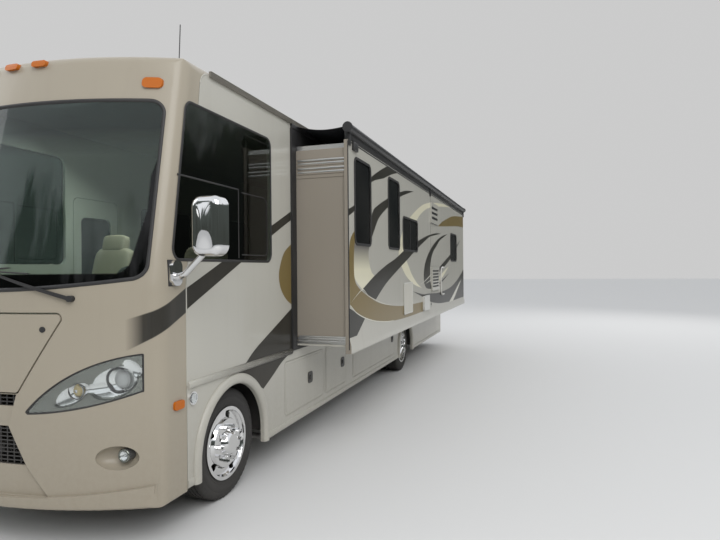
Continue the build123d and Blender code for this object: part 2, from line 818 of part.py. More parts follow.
# Hitch receiver: a square tube on a bar that hangs from both rails
receiver_outer = 63.5
receiver_inner = 50.8
receiver_z = 480.0
receiver_length = 420.0
receiver_proud = 90.0
receiver_rear_y = rear_y + receiver_proud
hitch_pin_radius = 7.95
hitch_pin_inset = 60.0
hanger_thickness = 10.0
hitch_bar_y = receiver_rear_y - receiver_length
with BuildPart() as hitch_receiver:
    with BuildSketch(across(receiver_rear_y)):
        with Locations((0, receiver_z)):
            Rectangle(receiver_outer, receiver_outer)
    extrude(amount=receiver_length)
    with BuildSketch(across(hitch_bar_y)):
        with Locations((0, receiver_z)):
            Rectangle(2 * rail_x, receiver_outer)
        for hand in (1, -1):
            hanger_top_z = rail_bottom_z + rail_depth - rail_web
            hanger_bottom_z = receiver_z - receiver_outer / 2
            with Locations((hand * (rail_x + hanger_thickness / 2), (hanger_bottom_z + hanger_top_z) / 2)):
                Rectangle(hanger_thickness, hanger_top_z - hanger_bottom_z)
    extrude(amount=receiver_outer)
    with BuildSketch(across(receiver_rear_y)):
        with Locations((0, receiver_z)):
            Rectangle(receiver_inner, receiver_inner)
    extrude(amount=receiver_length, mode=Mode.SUBTRACT)
    with BuildSketch(side(-receiver_outer)):
        with Locations((receiver_rear_y - hitch_pin_inset, receiver_z)):
            Circle(hitch_pin_radius)
    extrude(amount=2 * receiver_outer, mode=Mode.SUBTRACT)
hitch_receiver.part.label = "hitch_receiver"
export_step(hitch_receiver.part, "parts/hitch_receiver.step")

engine_front_y = 580.0
engine_length = 560.0
engine_rear_y = engine_front_y + engine_length
with BuildPart() as engine:
    with BuildSketch(level(rail_bottom_z + 20)):
        with Locations((0, engine_front_y + engine_length / 2)):
            Rectangle(560, engine_length)
    extrude(amount=joist_bottom_z - 10 - rail_bottom_z - 20)
    with BuildSketch(level(rail_bottom_z + 60)):
        with Locations((0, engine_front_y + engine_length / 2)):
            Rectangle(2 * (rail_x - rail_web), 120)
    extrude(amount=60)
engine.part.label = "engine"
export_step(engine.part, "parts/engine.step")

# Front axle: a dropped beam on two leaf springs, with kingpins at its ends
beam_z = 430.0
spring_x = rail_x - rail_flange / 2
kingpin_radius = 20.0
eye_radius = 52.0
eye_bottom_z = 400.0
eye_top_z = 520.0
ear_height = 36.0
ear_gap = 5.0
kingpin_bottom_z = eye_bottom_z - ear_gap - ear_height
kingpin_top_z = eye_top_z + ear_gap + ear_height


def leaf_spring(axle_station, half_span, seat_z):
    """Side view of an arched leaf pack, with its eyes under the frame rail."""
    arc_rise = rail_bottom_z - seat_z
    with BuildSketch(Plane.XY, mode=Mode.PRIVATE) as outline:
        with BuildLine():
            ThreePointArc(
                (axle_station - half_span, seat_z + arc_rise),
                (axle_station, seat_z),
                (axle_station + half_span, seat_z + arc_rise),
            )
            Line((axle_station + half_span, seat_z + arc_rise), (axle_station + half_span, seat_z + arc_rise - 20))
            ThreePointArc(
                (axle_station + half_span, seat_z + arc_rise - 20),
                (axle_station, seat_z - 50),
                (axle_station - half_span, seat_z + arc_rise - 20),
            )
            Line((axle_station - half_span, seat_z + arc_rise - 20), (axle_station - half_span, seat_z + arc_rise))
        make_face()
    return outline.sketch_local


with BuildPart() as front_axle:
    with BuildSketch(side(-kingpin_x)):
        with Locations((front_axle_y, beam_z)):
            Rectangle(90, 24)
        with Locations((front_axle_y, beam_z + 30)):
            Rectangle(30, 84)
    extrude(amount=2 * kingpin_x)
    for hand in (1, -1):
        with BuildSketch(Plane(origin=at(hand * kingpin_x, front_axle_y, eye_bottom_z))):
            Circle(eye_radius)
        extrude(amount=eye_top_z - eye_bottom_z)
        with BuildSketch(Plane(origin=at(hand * kingpin_x, front_axle_y, kingpin_bottom_z))):
            Circle(kingpin_radius)
        extrude(amount=kingpin_top_z - kingpin_bottom_z)
        with BuildSketch(side(hand * spring_x - 37)):
            add(leaf_spring(front_axle_y, 700, beam_z + 62))
        extrude(amount=74)
front_axle.part.label = "front_axle"
export_step(front_axle.part, "parts/front_axle.step")

# Rear axle: housing, differential, leaf springs and the propeller shaft ahead of it
with BuildPart() as rear_axle:
    with BuildSketch(Plane(origin=at(-1120, rear_axle_y, axle_z), x_dir=(0, 1, 0), z_dir=(1, 0, 0))):
        Circle(34)
    extrude(amount=2240)
    with BuildSketch(Plane(origin=at(-600, rear_axle_y, axle_z), x_dir=(0, 1, 0), z_dir=(1, 0, 0))):
        Circle(62)
    extrude(amount=1200)
    with Locations(at(0, rear_axle_y, axle_z)):
        Sphere(185)
    for hand in (1, -1):
        with BuildSketch(side(hand * spring_x - 37)):
            add(leaf_spring(rear_axle_y, 760, axle_z + 90))
        extrude(amount=74)
    shaft_front_y = engine_rear_y + 2
    shaft_drop = (rail_bottom_z + 60 - axle_z) / (rear_axle_y - shaft_front_y)
    with BuildSketch(
        Plane(
            origin=at(0, shaft_front_y, rail_bottom_z + 60),
            x_dir=(1, 0, 0),
            z_dir=(0, 1, -shaft_drop),
        )
    ):
        Circle(45)
    extrude(amount=rear_axle_y - shaft_front_y - 120)
rear_axle.part.label = "rear_axle"
export_step(rear_axle.part, "parts/rear_axle.step")

# Steering knuckles turn on the kingpins and carry the front wheels' spindles
spindle_radius = 34.0
spindle_end_x = 1165.0
steering_arm = 200.0
tie_rod_x = 830.0
for name, hand in (("steering_knuckle_left", 1), ("steering_knuckle_right", -1)):
    with BuildPart() as knuckle:
        for ear_z in (kingpin_bottom_z, eye_top_z + ear_gap):
            with BuildSketch(Plane(origin=at(hand * kingpin_x, front_axle_y, ear_z))):
                Circle(eye_radius - 6)
                with Locations((hand * 45, 0)):
                    Rectangle(90, 90)
                Circle(kingpin_radius + bearing_gap, mode=Mode.SUBTRACT)
            extrude(amount=ear_height)
        yoke_x = kingpin_x + eye_radius + 8
        with BuildSketch(side(hand * yoke_x)):
            with Locations((front_axle_y, (kingpin_bottom_z + kingpin_top_z) / 2)):
                Rectangle(90, kingpin_top_z - kingpin_bottom_z)
        extrude(amount=hand * 30)
        spindle_plane = Plane(
            origin=at(hand * yoke_x, front_axle_y, axle_z), x_dir=(0, 1, 0), z_dir=(1, 0, 0)
        )
        with BuildSketch(spindle_plane):
            Circle(spindle_radius)
        extrude(amount=hand * (spindle_end_x - yoke_x))
        with BuildSketch(level(kingpin_bottom_z)):
            with BuildLine():
                Polyline(
                    (hand * (kingpin_x - 35), front_axle_y + 30),
                    (hand * (kingpin_x + 35), front_axle_y + 30),
                    (hand * (tie_rod_x + 25), front_axle_y + steering_arm + 25),
                    (hand * (tie_rod_x - 25), front_axle_y + steering_arm + 25),
                    close=True,
                )
            make_face()
        extrude(amount=26)
    knuckle.part.label = name
    export_step(knuckle.part, f"parts/{name}.step")

tie_rod_z = kingpin_bottom_z - 8.0 - 18.0
with BuildPart() as tie_rod:
    with BuildSketch(
        Plane(
            origin=at(-tie_rod_x, front_axle_y + steering_arm, tie_rod_z),
            x_dir=(0, 1, 0),
            z_dir=(1, 0, 0),
        )
    ):
        Circle(18)
    extrude(amount=2 * tie_rod_x)
tie_rod.part.label = "tie_rod"
export_step(tie_rod.part, "parts/tie_rod.step")


def wheel_plane(x, axle_station):
    """Upright plane across an axle's line, at a width from the centreline."""
    return Plane(origin=at(x, axle_station, axle_z), x_dir=(0, 1, 0), z_dir=(1, 0, 0))


# Tyres have many flat sides in place of true rounds, which keeps all six of them light
tyre_sides = 48
tyre_sections = (
    # how far in from the tyre's widest point, radius
    (22.0, rim_lip_radius + 2),
    (0.0, bead_radius + 80),
    (18.0, tyre_radius - 12),
    (40.0, tyre_radius),
)


def tyre(centre_x, axle_station):
    """A tyre round one wheel, as flat-sided sections joined from side to side."""
    half = tyre_width / 2
    stations = [(inset - half, radius) for inset, radius in tyre_sections]
    stations += [(half - inset, radius) for inset, radius in reversed(tyre_sections)]
    with BuildPart(mode=Mode.PRIVATE) as ring:
        for offset, radius in stations:
            with BuildSketch(wheel_plane(centre_x + offset, axle_station)):
                RegularPolygon(radius, tyre_sides)
        loft(ruled=True)
        with BuildSketch(wheel_plane(centre_x - half, axle_station)):
            RegularPolygon(bead_radius, tyre_sides, major_radius=False)
        extrude(amount=tyre_width, mode=Mode.SUBTRACT)
    return ring.part


rim_half = tyre_width / 2 - 22.0
rim_lip_x = rim_half + rim_lip_width
barrel_thickness = 14.0
disc_thickness = 14.0
hub_radius = 92.0
hub_bore_radius = 40.0
lug_circle_radius = 142.0
lug_radius = 17.0
hand_hole_circle = 238.0
hand_hole_radius = 34.0
front_cover = (
    # how far out from the rim's lip, radius: a domed cover
    (0.0, bead_radius - 2),
    (-30.0, 262.0),
    (-26.0, 214.0),
    (0.0, 198.0),
    (4.0, 112.0),
)
rear_cover = (
    # how far out from the rim's lip, radius: a deep dish
    (0.0, bead_radius - 2),
    (-62.0, 266.0),
    (-118.0, 212.0),
    (-138.0, 196.0),
    (-140.0, 112.0),
)
wheel_faces = {
    # cover, hub's back, cap's back, cap's front, lug length
    "front": (front_cover, -80.0, -36.0, 54.0, 52.0),
    "rear": (rear_cover, -200.0, -80.0, -26.0, 46.0),
}


def barrel_profile(centre_x):
    """Half-section of a wheel's barrel with its two lips."""
    with Locations((centre_x, bead_radius - barrel_thickness / 2)):
        Rectangle(2 * rim_half, barrel_thickness)
    for edge in (1, -1):
        with Locations((centre_x + edge * (rim_half + rim_lip_width / 2), rim_lip_radius - barrel_thickness)):
            Rectangle(rim_lip_width, 2 * barrel_thickness)


def outer_rim(centre_x, axle_station, hand, end):
    """An outer wheel: barrel, pierced cover with its lugs, and a closed hub."""
    cover, hub_back, cap_back, cap_front, lug_length = wheel_faces[end]
    lip_x = centre_x + hand * rim_lip_x
    face = [(lip_x + hand * out, radius) for out, radius in cover]
    back = [(x - hand * disc_thickness, radius) for x, radius in reversed(face)]
    plate_x = face[-1][0]
    with BuildPart(mode=Mode.PRIVATE) as wheel:
        with BuildSketch(Plane(origin=at(0, axle_station, axle_z), x_dir=(1, 0, 0), z_dir=(0, -1, 0))):
            barrel_profile(centre_x)
            with BuildLine():
                Polyline(*face, *back, close=True)
            make_face()
            with BuildLine():
                Polyline(
                    (lip_x + hand * hub_back, hub_bore_radius),
                    (lip_x + hand * cap_back, hub_bore_radius),
                    (lip_x + hand * cap_back, 0),
                    (lip_x + hand * cap_front, 0),
                    (lip_x + hand * cap_front, hub_radius - 14),
                    (lip_x + hand * (cap_front - 14), hub_radius),
                    (plate_x, cover[-1][1]),
                    (plate_x - hand * disc_thickness, cover[-1][1]),
                    (lip_x + hand * hub_back, hub_radius),
                    close=True,
                )
            make_face()
        revolve(axis=Axis(at(0, axle_station, axle_z), (1, 0, 0)))
        with BuildSketch(wheel_plane(plate_x, axle_station)):
            with PolarLocations(lug_circle_radius, 10):
                RegularPolygon(lug_radius, 6)
        extrude(amount=hand * lug_length)
        with BuildSketch(wheel_plane(lip_x, axle_station)):
            with PolarLocations(hand_hole_circle, 5, start_angle=6):
                Circle(hand_hole_radius)
        extrude(amount=hand * (cover[2][0] - 2 * disc_thickness - 20), mode=Mode.SUBTRACT)
    return wheel.part


def inner_rim(centre_x, axle_station, hand):
    """The hidden wheel of a pair: barrel, plain disc and hub ring."""
    disc_x = centre_x + hand * 30
    with BuildPart(mode=Mode.PRIVATE) as wheel:
        with BuildSketch(Plane(origin=at(0, axle_station, axle_z), x_dir=(1, 0, 0), z_dir=(0, -1, 0))):
            barrel_profile(centre_x)
            with Locations((disc_x, (bead_radius - barrel_thickness / 2 + hub_bore_radius) / 2)):
                Rectangle(disc_thickness, bead_radius - barrel_thickness / 2 - hub_bore_radius)
        revolve(axis=Axis(at(0, axle_station, axle_z), (1, 0, 0)))
    return wheel.part


wheels = (
    # side, hand, axle station, centre of its inner wheel if it has one, front or rear
    ("left", 1, front_axle_y, None, "front"),
    ("right", -1, front_axle_y, None, "front"),
    ("left", 1, rear_axle_y, front_wheel_x - dual_spacing, "rear"),
    ("right", -1, rear_axle_y, dual_spacing - front_wheel_x, "rear"),
)
for side_name, hand, axle_station, inner_x, end in wheels:
    plural = "s" if inner_x else ""
    outer_x = hand * front_wheel_x
    with BuildPart() as tyres:
        add(tyre(outer_x, axle_station))
        if inner_x:
            add(tyre(inner_x, axle_station))
    name = f"{end}_tyre{plural}_{side_name}"
    tyres.part.label = name
    export_step(tyres.part, f"parts/{name}.step")
    with BuildPart() as rims:
        add(outer_rim(outer_x, axle_station, hand, end))
        if inner_x:
            add(inner_rim(inner_x, axle_station, hand))
    name = f"{end}_rim{plural}_{side_name}"
    rims.part.label = name
    export_step(rims.part, f"parts/{name}.step")

# Wheel wells inside the body, deep enough for the front wheels' full lock
well_half_length = 590.0
well_inner_x = 600.0
well_sheet = 6.0
well_bottom_z = skirt_z + 80.0
with BuildPart() as wheel_wells:
    for axle_station in (front_axle_y, rear_axle_y):
        for hand in (1, -1):
            outer_x = half_width - basement_thickness
            with BuildSketch(level(well_bottom_z)):
                with Locations((hand * (outer_x + well_inner_x) / 2, axle_station)):
                    Rectangle(outer_x - well_inner_x, 2 * well_half_length)
            extrude(amount=joist_bottom_z - well_bottom_z)
            with BuildSketch(level(well_bottom_z)):
                with Locations((hand * ((outer_x + well_inner_x) / 2 + well_sheet), axle_station)):
                    Rectangle(
                        outer_x - well_inner_x, 2 * (well_half_length - well_sheet)
                    )
            extrude(amount=joist_bottom_z - well_bottom_z - well_sheet, mode=Mode.SUBTRACT)
        with BuildSketch(side(-half_width)):
            with Locations((axle_station, axle_z)):
                Rectangle(240, 240)
        extrude(amount=2 * half_width, mode=Mode.SUBTRACT)
wheel_wells.part.label = "wheel_wells"
export_step(wheel_wells.part, "parts/wheel_wells.step")

# Storage bays behind the baggage doors: trays hung below the joists
bay_sheet = 6.0
bay_floor_z = bay_sill_z - 20.0
step_run = 300.0
step_margin = 30.0
step_tread_z = (650.0, 860.0)
with BuildPart() as storage_bays:
    for hand, bays in ((1, left_bays), (-1, right_bays)):
        front = bays[0][1] - 60
        rear = bays[-1][2] + 60
        outer_x = half_width - basement_thickness
        inner_x = rail_x
        with BuildSketch(level(bay_floor_z)):
            with Locations((hand * (outer_x + inner_x) / 2, (front + rear) / 2)):
                Rectangle(outer_x - inner_x, rear - front)
        extrude(amount=joist_bottom_z - bay_floor_z)
        with BuildSketch(level(bay_floor_z + bay_sheet)):
            with Locations((hand * ((outer_x + inner_x) / 2 + bay_sheet), (front + rear) / 2)):
                Rectangle(outer_x - inner_x, rear - front - 2 * bay_sheet)
        extrude(amount=joist_bottom_z - bay_floor_z, mode=Mode.SUBTRACT)
    with BuildSketch(across(door_front_y - step_margin)):
        with BuildLine():
            Polyline(
                (-inner_half, step_tread_z[0] - step_sheet),
                (-inner_half + step_run, step_tread_z[0] - step_sheet),
                (-inner_half + step_run, step_tread_z[1] - step_sheet),
                (-inner_half + step_depth, step_tread_z[1] - step_sheet),
                (-inner_half + step_depth, floor_bottom_z),
                (-inner_half + step_depth - step_sheet, floor_bottom_z),
                (-inner_half + step_depth - step_sheet, step_tread_z[1]),
                (-inner_half + step_run - step_sheet, step_tread_z[1]),
                (-inner_half + step_run - step_sheet, step_tread_z[0]),
                (-inner_half, step_tread_z[0]),
                close=True,
            )
        make_face()
    extrude(amount=-(door_rear_y - door_front_y + 2 * step_margin))
storage_bays.part.label = "storage_bays"
export_step(storage_bays.part, "parts/storage_bays.step")

with BuildPart() as fuel_tank:
    with BuildSketch(level(rail_bottom_z - 60)):
        with Locations((0, rear_axle_y + 1496)):
            RectangleRounded(2 * (rail_x - rail_flange), 1100, 60)
    extrude(amount=rail_depth + 20)
fuel_tank.part.label = "fuel_tank"
export_step(fuel_tank.part, "parts/fuel_tank.step")

with BuildPart() as exhaust:
    with BuildLine() as exhaust_route:
        FilletPolyline(
            at(250, engine_rear_y + 1, 620),
            at(250, 1950, 600),
            at(380, 2150, 300),
            at(1190, 2160, 270),
            radius=90,
        )
    with BuildSketch(Plane(origin=exhaust_route.line @ 0, z_dir=exhaust_route.line % 0)):
        Circle(28)
        Circle(25, mode=Mode.SUBTRACT)
    sweep()
exhaust.part.label = "exhaust"
export_step(exhaust.part, "parts/exhaust.step")

# Slide-out room: flat panels meeting at the corners, drawn extended
slide_x = half_width + slide_out
slide_inner_x = half_width - wall_thickness - slide_inner_overlap
box_front_y = opening_front_y + slide_gap
box_rear_y = opening_rear_y - slide_gap
box_bottom_z = opening_bottom_z + slide_gap
box_top_z = opening_top_z - slide_gap
slide_windows_table = (
    # front station, rear station, sill, head, corner radius
    (2765.0, 3340.0, 2194.0, 3106.0, 70.0),
    (4105.0, 4680.0, 2194.0, 3106.0, 70.0),
    (4880.0, 5840.0, 2194.0, 2665.0, 70.0),
    (slide_rear_y - 2030.0, slide_rear_y - 1160.0, 2090.0, 2676.0, 100.0),
)

flange_height = 158.0
flange_proud = 20.0
with BuildPart() as slide_outer_wall:
    with BuildSketch(side(slide_x - slide_panel)):
        with Locations(((slide_front_y + slide_rear_y) / 2, (slide_bottom_z + slide_top_z) / 2)):
            Rectangle(slide_rear_y - slide_front_y, slide_top_z - slide_bottom_z)
        for front, rear, sill, head, radius in slide_windows_table:
            with Locations(((front + rear) / 2, (sill + head) / 2)):
                RectangleRounded(rear - front, head - sill, radius, mode=Mode.SUBTRACT)
    extrude(amount=slide_panel)
    with BuildSketch(across(slide_front_y)):
        with BuildLine():
            Polyline(
                (slide_x, slide_bottom_z),
                (slide_x + flange_proud, slide_bottom_z),
                (slide_x + flange_proud, slide_bottom_z + flange_height / 2),
                (slide_x, slide_bottom_z + flange_height),
                close=True,
            )
        make_face()
    extrude(amount=-(slide_rear_y - slide_front_y))
slide_outer_wall.part.label = "slide_outer_wall"
export_step(slide_outer_wall.part, "parts/slide_outer_wall.step")

window_frame_width = 14.0
window_frame_proud = 8.0
with BuildPart() as slide_windows:
    with BuildSketch(side(slide_x - 2 * glass_thickness)):
        for front, rear, sill, head, radius in slide_windows_table:
            side_rectangle(front, rear, sill, head, radius)
    extrude(amount=glass_thickness)
    with BuildSketch(side(slide_x)):
        for front, rear, sill, head, radius in slide_windows_table:
            rim = window_frame_width
            side_rectangle(front - rim, rear + rim, sill - rim, head + rim, radius + rim)
            with Locations(((front + rear) / 2, (sill + head) / 2)):
                RectangleRounded(rear - front - 2 * rim, head - sill - 2 * rim, radius - rim, mode=Mode.SUBTRACT)
    extrude(amount=window_frame_proud)
slide_windows.part.label = "slide_windows"
export_step(slide_windows.part, "parts/slide_windows.step")

slide_box_depth = slide_x - slide_panel - slide_inner_x
with BuildPart() as slide_floor:
    with BuildSketch(level(box_bottom_z)):
        with Locations((slide_inner_x + slide_box_depth / 2, (box_front_y + box_rear_y) / 2)):
            Rectangle(slide_box_depth, box_rear_y - box_front_y)
    extrude(amount=slide_panel)
slide_floor.part.label = "slide_floor"
export_step(slide_floor.part, "parts/slide_floor.step")

with BuildPart() as slide_roof:
    with BuildSketch(level(box_top_z - slide_panel)):
        with Locations((slide_inner_x + slide_box_depth / 2, (box_front_y + box_rear_y) / 2)):
            Rectangle(slide_box_depth, box_rear_y - box_front_y)
    extrude(amount=slide_panel)
slide_roof.part.label = "slide_roof"
export_step(slide_roof.part, "parts/slide_roof.step")

end_wall_ribs = (
    # bottom, top of each ribbed trim on the end walls
    (1150.0, 1215.0),
    (2885.0, 2950.0),
    (2990.0, 3030.0),
)
rib_proud = 6.0
with BuildPart() as slide_end_walls:
    for station, facing in ((box_front_y, -1), (box_rear_y, 1)):
        with BuildSketch(across(station)):
            with Locations((slide_inner_x + slide_box_depth / 2, (box_bottom_z + box_top_z) / 2)):
                Rectangle(slide_box_depth, box_top_z - box_bottom_z - 2 * slide_panel)
        extrude(amount=facing * slide_panel)
        with BuildSketch(across(station)):
            for bottom, top in end_wall_ribs:
                with Locations((slide_inner_x + slide_box_depth / 2, (bottom + top) / 2)):
                    Rectangle(slide_box_depth, top - bottom)
                    Rectangle(slide_box_depth, (top - bottom) / 5, mode=Mode.SUBTRACT)
        extrude(amount=-facing * rib_proud)
slide_end_walls.part.label = "slide_end_walls"
export_step(slide_end_walls.part, "parts/slide_end_walls.step")

slide_fittings = (
    # front station, rear station, sill, head, how far it stands out, louvre slots
    (6900.0, 7580.0, 2735.0, 3100.0, 22.0, 3),
    (6960.0, 7660.0, 1530.0, 1960.0, 22.0, 6),
    (4900.0, 5430.0, 1280.0, 1720.0, 10.0, 0),
    (6210.0, 6650.0, 1235.0, 1470.0, 30.0, 0),
)
louvre_rim = 50.0
louvre_depth = 14.0
with BuildPart() as slide_vents:
    for front, rear, sill, head, proud, slots in slide_fittings:
        with BuildSketch(side(slide_x)):
            side_rectangle(front, rear, sill, head, 20)
        extrude(amount=proud)
        if slots:
            pitch = (head - sill - 2 * louvre_rim) / slots
            with BuildSketch(side(slide_x + proud)):
                with Locations(((front + rear) / 2, (sill + head) / 2)):
                    with GridLocations(0, pitch, 1, slots):
                        Rectangle(rear - front - 2 * louvre_rim, pitch / 2)
            extrude(amount=-louvre_depth, mode=Mode.SUBTRACT)
slide_vents.part.label = "slide_vents"
export_step(slide_vents.part, "parts/slide_vents.step")

# Slide topper: roller on brackets, and the fabric from the coach's rail to it
roller_radius = 45.0
roller_x = slide_x + 10.0
roller_z = 3370.0
roller_front_y = slide_front_y - 30.0
roller_rear_y = slide_rear_y + 30.0
roller_cap_length = 18.0
with BuildPart() as topper_roller:
    roller_plane = Plane(
        origin=at(roller_x, roller_front_y, roller_z), x_dir=(-1, 0, 0), z_dir=(0, 1, 0)
    )
    with BuildSketch(roller_plane):
        Circle(roller_radius)
    extrude(amount=roller_rear_y - roller_front_y)
    for station in (roller_front_y - roller_cap_length, roller_rear_y):
        with BuildSketch(across(station)):
            with Locations((roller_x, roller_z)):
                Circle(roller_radius + 8)
        extrude(amount=-roller_cap_length)
    for station in (slide_front_y, (slide_front_y + slide_rear_y) / 2, slide_rear_y - 40):
        with BuildSketch(across(station)):
            with BuildLine():
                Polyline(
                    (slide_x, slide_top_z - 60),
                    (slide_x + 20, slide_top_z - 60),
                    (slide_x + 20, roller_z - roller_radius + 4),
                    (slide_x, roller_z - roller_radius + 4),
                    close=True,
                )
            make_face()
        extrude(amount=-40)
topper_roller.part.label = "topper_roller"
export_step(topper_roller.part, "parts/topper_roller.step")

fabric_thickness = 4.0
fabric_wall_z = 3440.0
fabric_front_y = slide_front_y + 30.0
fabric_rear_y = slide_rear_y - 60.0
with BuildPart() as topper_fabric:
    with BuildSketch(across(fabric_front_y)):
        with BuildLine():
            outer_top = (roller_x - roller_radius - 1, roller_z + 10)
            Polyline(
                (half_width + 24, fabric_wall_z),
                outer_top,
                (outer_top[0], outer_top[1] - fabric_thickness),
                (half_width + 24, fabric_wall_z - fabric_thickness),
                close=True,
            )
        make_face()
    extrude(amount=-(fabric_rear_y - fabric_front_y))
topper_fabric.part.label = "topper_fabric"
export_step(topper_fabric.part, "parts/topper_fabric.step")

# Black frame and seal around the slide opening, with a deep head above the room's roof
seal_front_width = 105.0
seal_rear_width = 60.0
seal_foot = 30.0
seal_head_z = 3400.0
seal_proud = 20.0
with BuildPart() as slide_frame:
    with BuildSketch(side(half_width)):
        with BuildLine():
            Polyline(
                (opening_front_y - seal_front_width, opening_bottom_z - seal_foot),
                (opening_rear_y + seal_rear_width, opening_bottom_z - seal_foot),
                (opening_rear_y + seal_rear_width, seal_head_z),
                (opening_front_y - seal_front_width, seal_head_z),
                close=True,
            )
        make_face()
        with Locations(((opening_front_y + opening_rear_y) / 2, (opening_bottom_z + opening_top_z) / 2)):
            Rectangle(
                opening_rear_y - opening_front_y, opening_top_z - opening_bottom_z, mode=Mode.SUBTRACT
            )
    extrude(amount=seal_proud)
slide_frame.part.label = "slide_frame"
export_step(slide_frame.part, "parts/slide_frame.step")

# Trim: grooved roof rails, half-round belt mouldings and wheel arch flares
rail_height = 44.0
rail_proud = 22.0
rail_groove = 7.0
rail_front_y = seam_station(wall_top_z) + seam_corner_radius
rail_z = wall_top_z + 10.0
belt_height = 60.0
belt_proud = 22.0
belt_front_y = seam_y + panel_gap
flare_proud = 30.0
flare_radius = arch_radius + arch_flare / 2


def half_round(hand, proud, width):
    """Half an ellipse that stands out from a wall, drawn about the wall's surface."""
    Ellipse(proud, width / 2)
    with Locations((-hand * proud / 2, 0)):
        Rectangle(proud, width, mode=Mode.SUBTRACT)


with BuildPart() as side_trim:
    for hand in (1, -1):
        with BuildSketch(across(rail_front_y)):
            with Locations((hand * (half_width + rail_proud / 2), rail_z)):
                Rectangle(rail_proud, rail_height)
            for groove_z in (rail_z - 2 * rail_groove, rail_z, rail_z + 2 * rail_groove):
                with Locations((hand * (half_width + rail_proud), groove_z)):
                    Rectangle(2 * rail_groove, rail_groove, mode=Mode.SUBTRACT)
        extrude(amount=-(rear_cap_y - rail_front_y))
        belt_rear_y = opening_front_y - seal_front_width - 5 if hand > 0 else door_front_y - 20
        with BuildSketch(Plane(origin=at(hand * half_width, belt_front_y, belt_z), x_dir=(1, 0, 0), z_dir=(0, -1, 0))):
            half_round(hand, belt_proud, belt_height)
        extrude(amount=-(belt_rear_y - belt_front_y))
        for axle_station in (front_axle_y, rear_axle_y):
            foot_front = at(hand * half_width, axle_station - flare_radius, skirt_z)
            arch_front = at(hand * half_width, axle_station - flare_radius, axle_z)
            arch_top = at(hand * half_width, axle_station, axle_z + flare_radius)
            arch_rear = at(hand * half_width, axle_station + flare_radius, axle_z)
            foot_rear = at(hand * half_width, axle_station + flare_radius, skirt_z)
            with BuildLine() as arch_line:
                Line(foot_front, arch_front)
                ThreePointArc(arch_front, arch_top, arch_rear)
                Line(arch_rear, foot_rear)
            with BuildSketch(Plane(origin=foot_front, x_dir=(1, 0, 0), z_dir=(0, 0, 1))):
                half_round(hand, flare_proud, arch_flare)
            sweep(path=arch_line.line)
side_trim.part.label = "side_trim"
export_step(side_trim.part, "parts/side_trim.step")

# Clearance lamps: three on the brow, two near its corners, and one low on each flank end
brow_lamp_z = roof_z - 48.0
brow_lamp_proud = 26.0
corner_lamp_inset = 189.0
corner_lamp_z = 3290.0
corner_lamp_proud = 16.0
side_marker_z = 966.0
with BuildSketch(Plane.XY) as brow_lamps:
    with Locations((-250, brow_lamp_z), (0, brow_lamp_z), (250, brow_lamp_z)):
        RectangleRounded(120, 46, 18)
with BuildSketch(Plane.XY) as corner_lamps:
    with Locations((corner_lamp_inset - half_width, corner_lamp_z), (half_width - corner_lamp_inset, corner_lamp_z)):
        RectangleRounded(130, 78, 30)
with BuildPart() as marker_lamps:
    add(nose_panel(brow_lamps.sketch, -brow_lamp_proud, brow_lamp_proud))
    add(nose_panel(corner_lamps.sketch, -corner_lamp_proud, corner_lamp_proud))
    for hand in (1, -1):
        with BuildSketch(side(hand * half_width)):
            with Locations((seam_y - 105, side_marker_z), (rear_y - 800, side_marker_z)):
                RectangleRounded(110, 62, 20)
        extrude(amount=hand * 18)
marker_lamps.part.label = "marker_lamps"
export_step(marker_lamps.part, "parts/marker_lamps.step")

with BuildPart() as tail_lamps:
    with BuildSketch(across(rear_y)):
        for hand in (1, -1):
            with Locations((hand * 1060, 1150)):
                RectangleRounded(140, 420, 40)
        for x in (-250.0, 0.0, 250.0):
            with Locations((x, roof_z - 125)):
                RectangleRounded(110, 40, 15)
    extrude(amount=-24)
tail_lamps.part.label = "tail_lamps"
export_step(tail_lamps.part, "parts/tail_lamps.step")

# Wipers and mirrors
wiper_x = 722.0
wiper_z = 1742.0
wiper_tip_x = 100.0
wiper_tip_z = 1926.0
wiper_standoff = 28.0
wiper_thickness = 10.0
with BuildSketch(Plane.XY) as wiper_pivots:
    with Locations((-wiper_x, wiper_z), (wiper_x, wiper_z)):
        Circle(22)
with BuildSketch(Plane.XY) as wiper_arms:
    with BuildLine():
        Polyline(
            (wiper_x, wiper_z + 14),
            (wiper_x, wiper_z - 14),
            (wiper_tip_x, wiper_tip_z - 7),
            (wiper_tip_x, wiper_tip_z + 7),
            close=True,
        )
    make_face()
    mirror(about=Plane.YZ)
with BuildPart() as wipers:
    add(nose_panel(wiper_pivots.sketch, -wiper_standoff, wiper_standoff))
    add(nose_panel(wiper_arms.sketch, -wiper_standoff, wiper_thickness))
wipers.part.label = "wipers"
export_step(wipers.part, "parts/wipers.step")

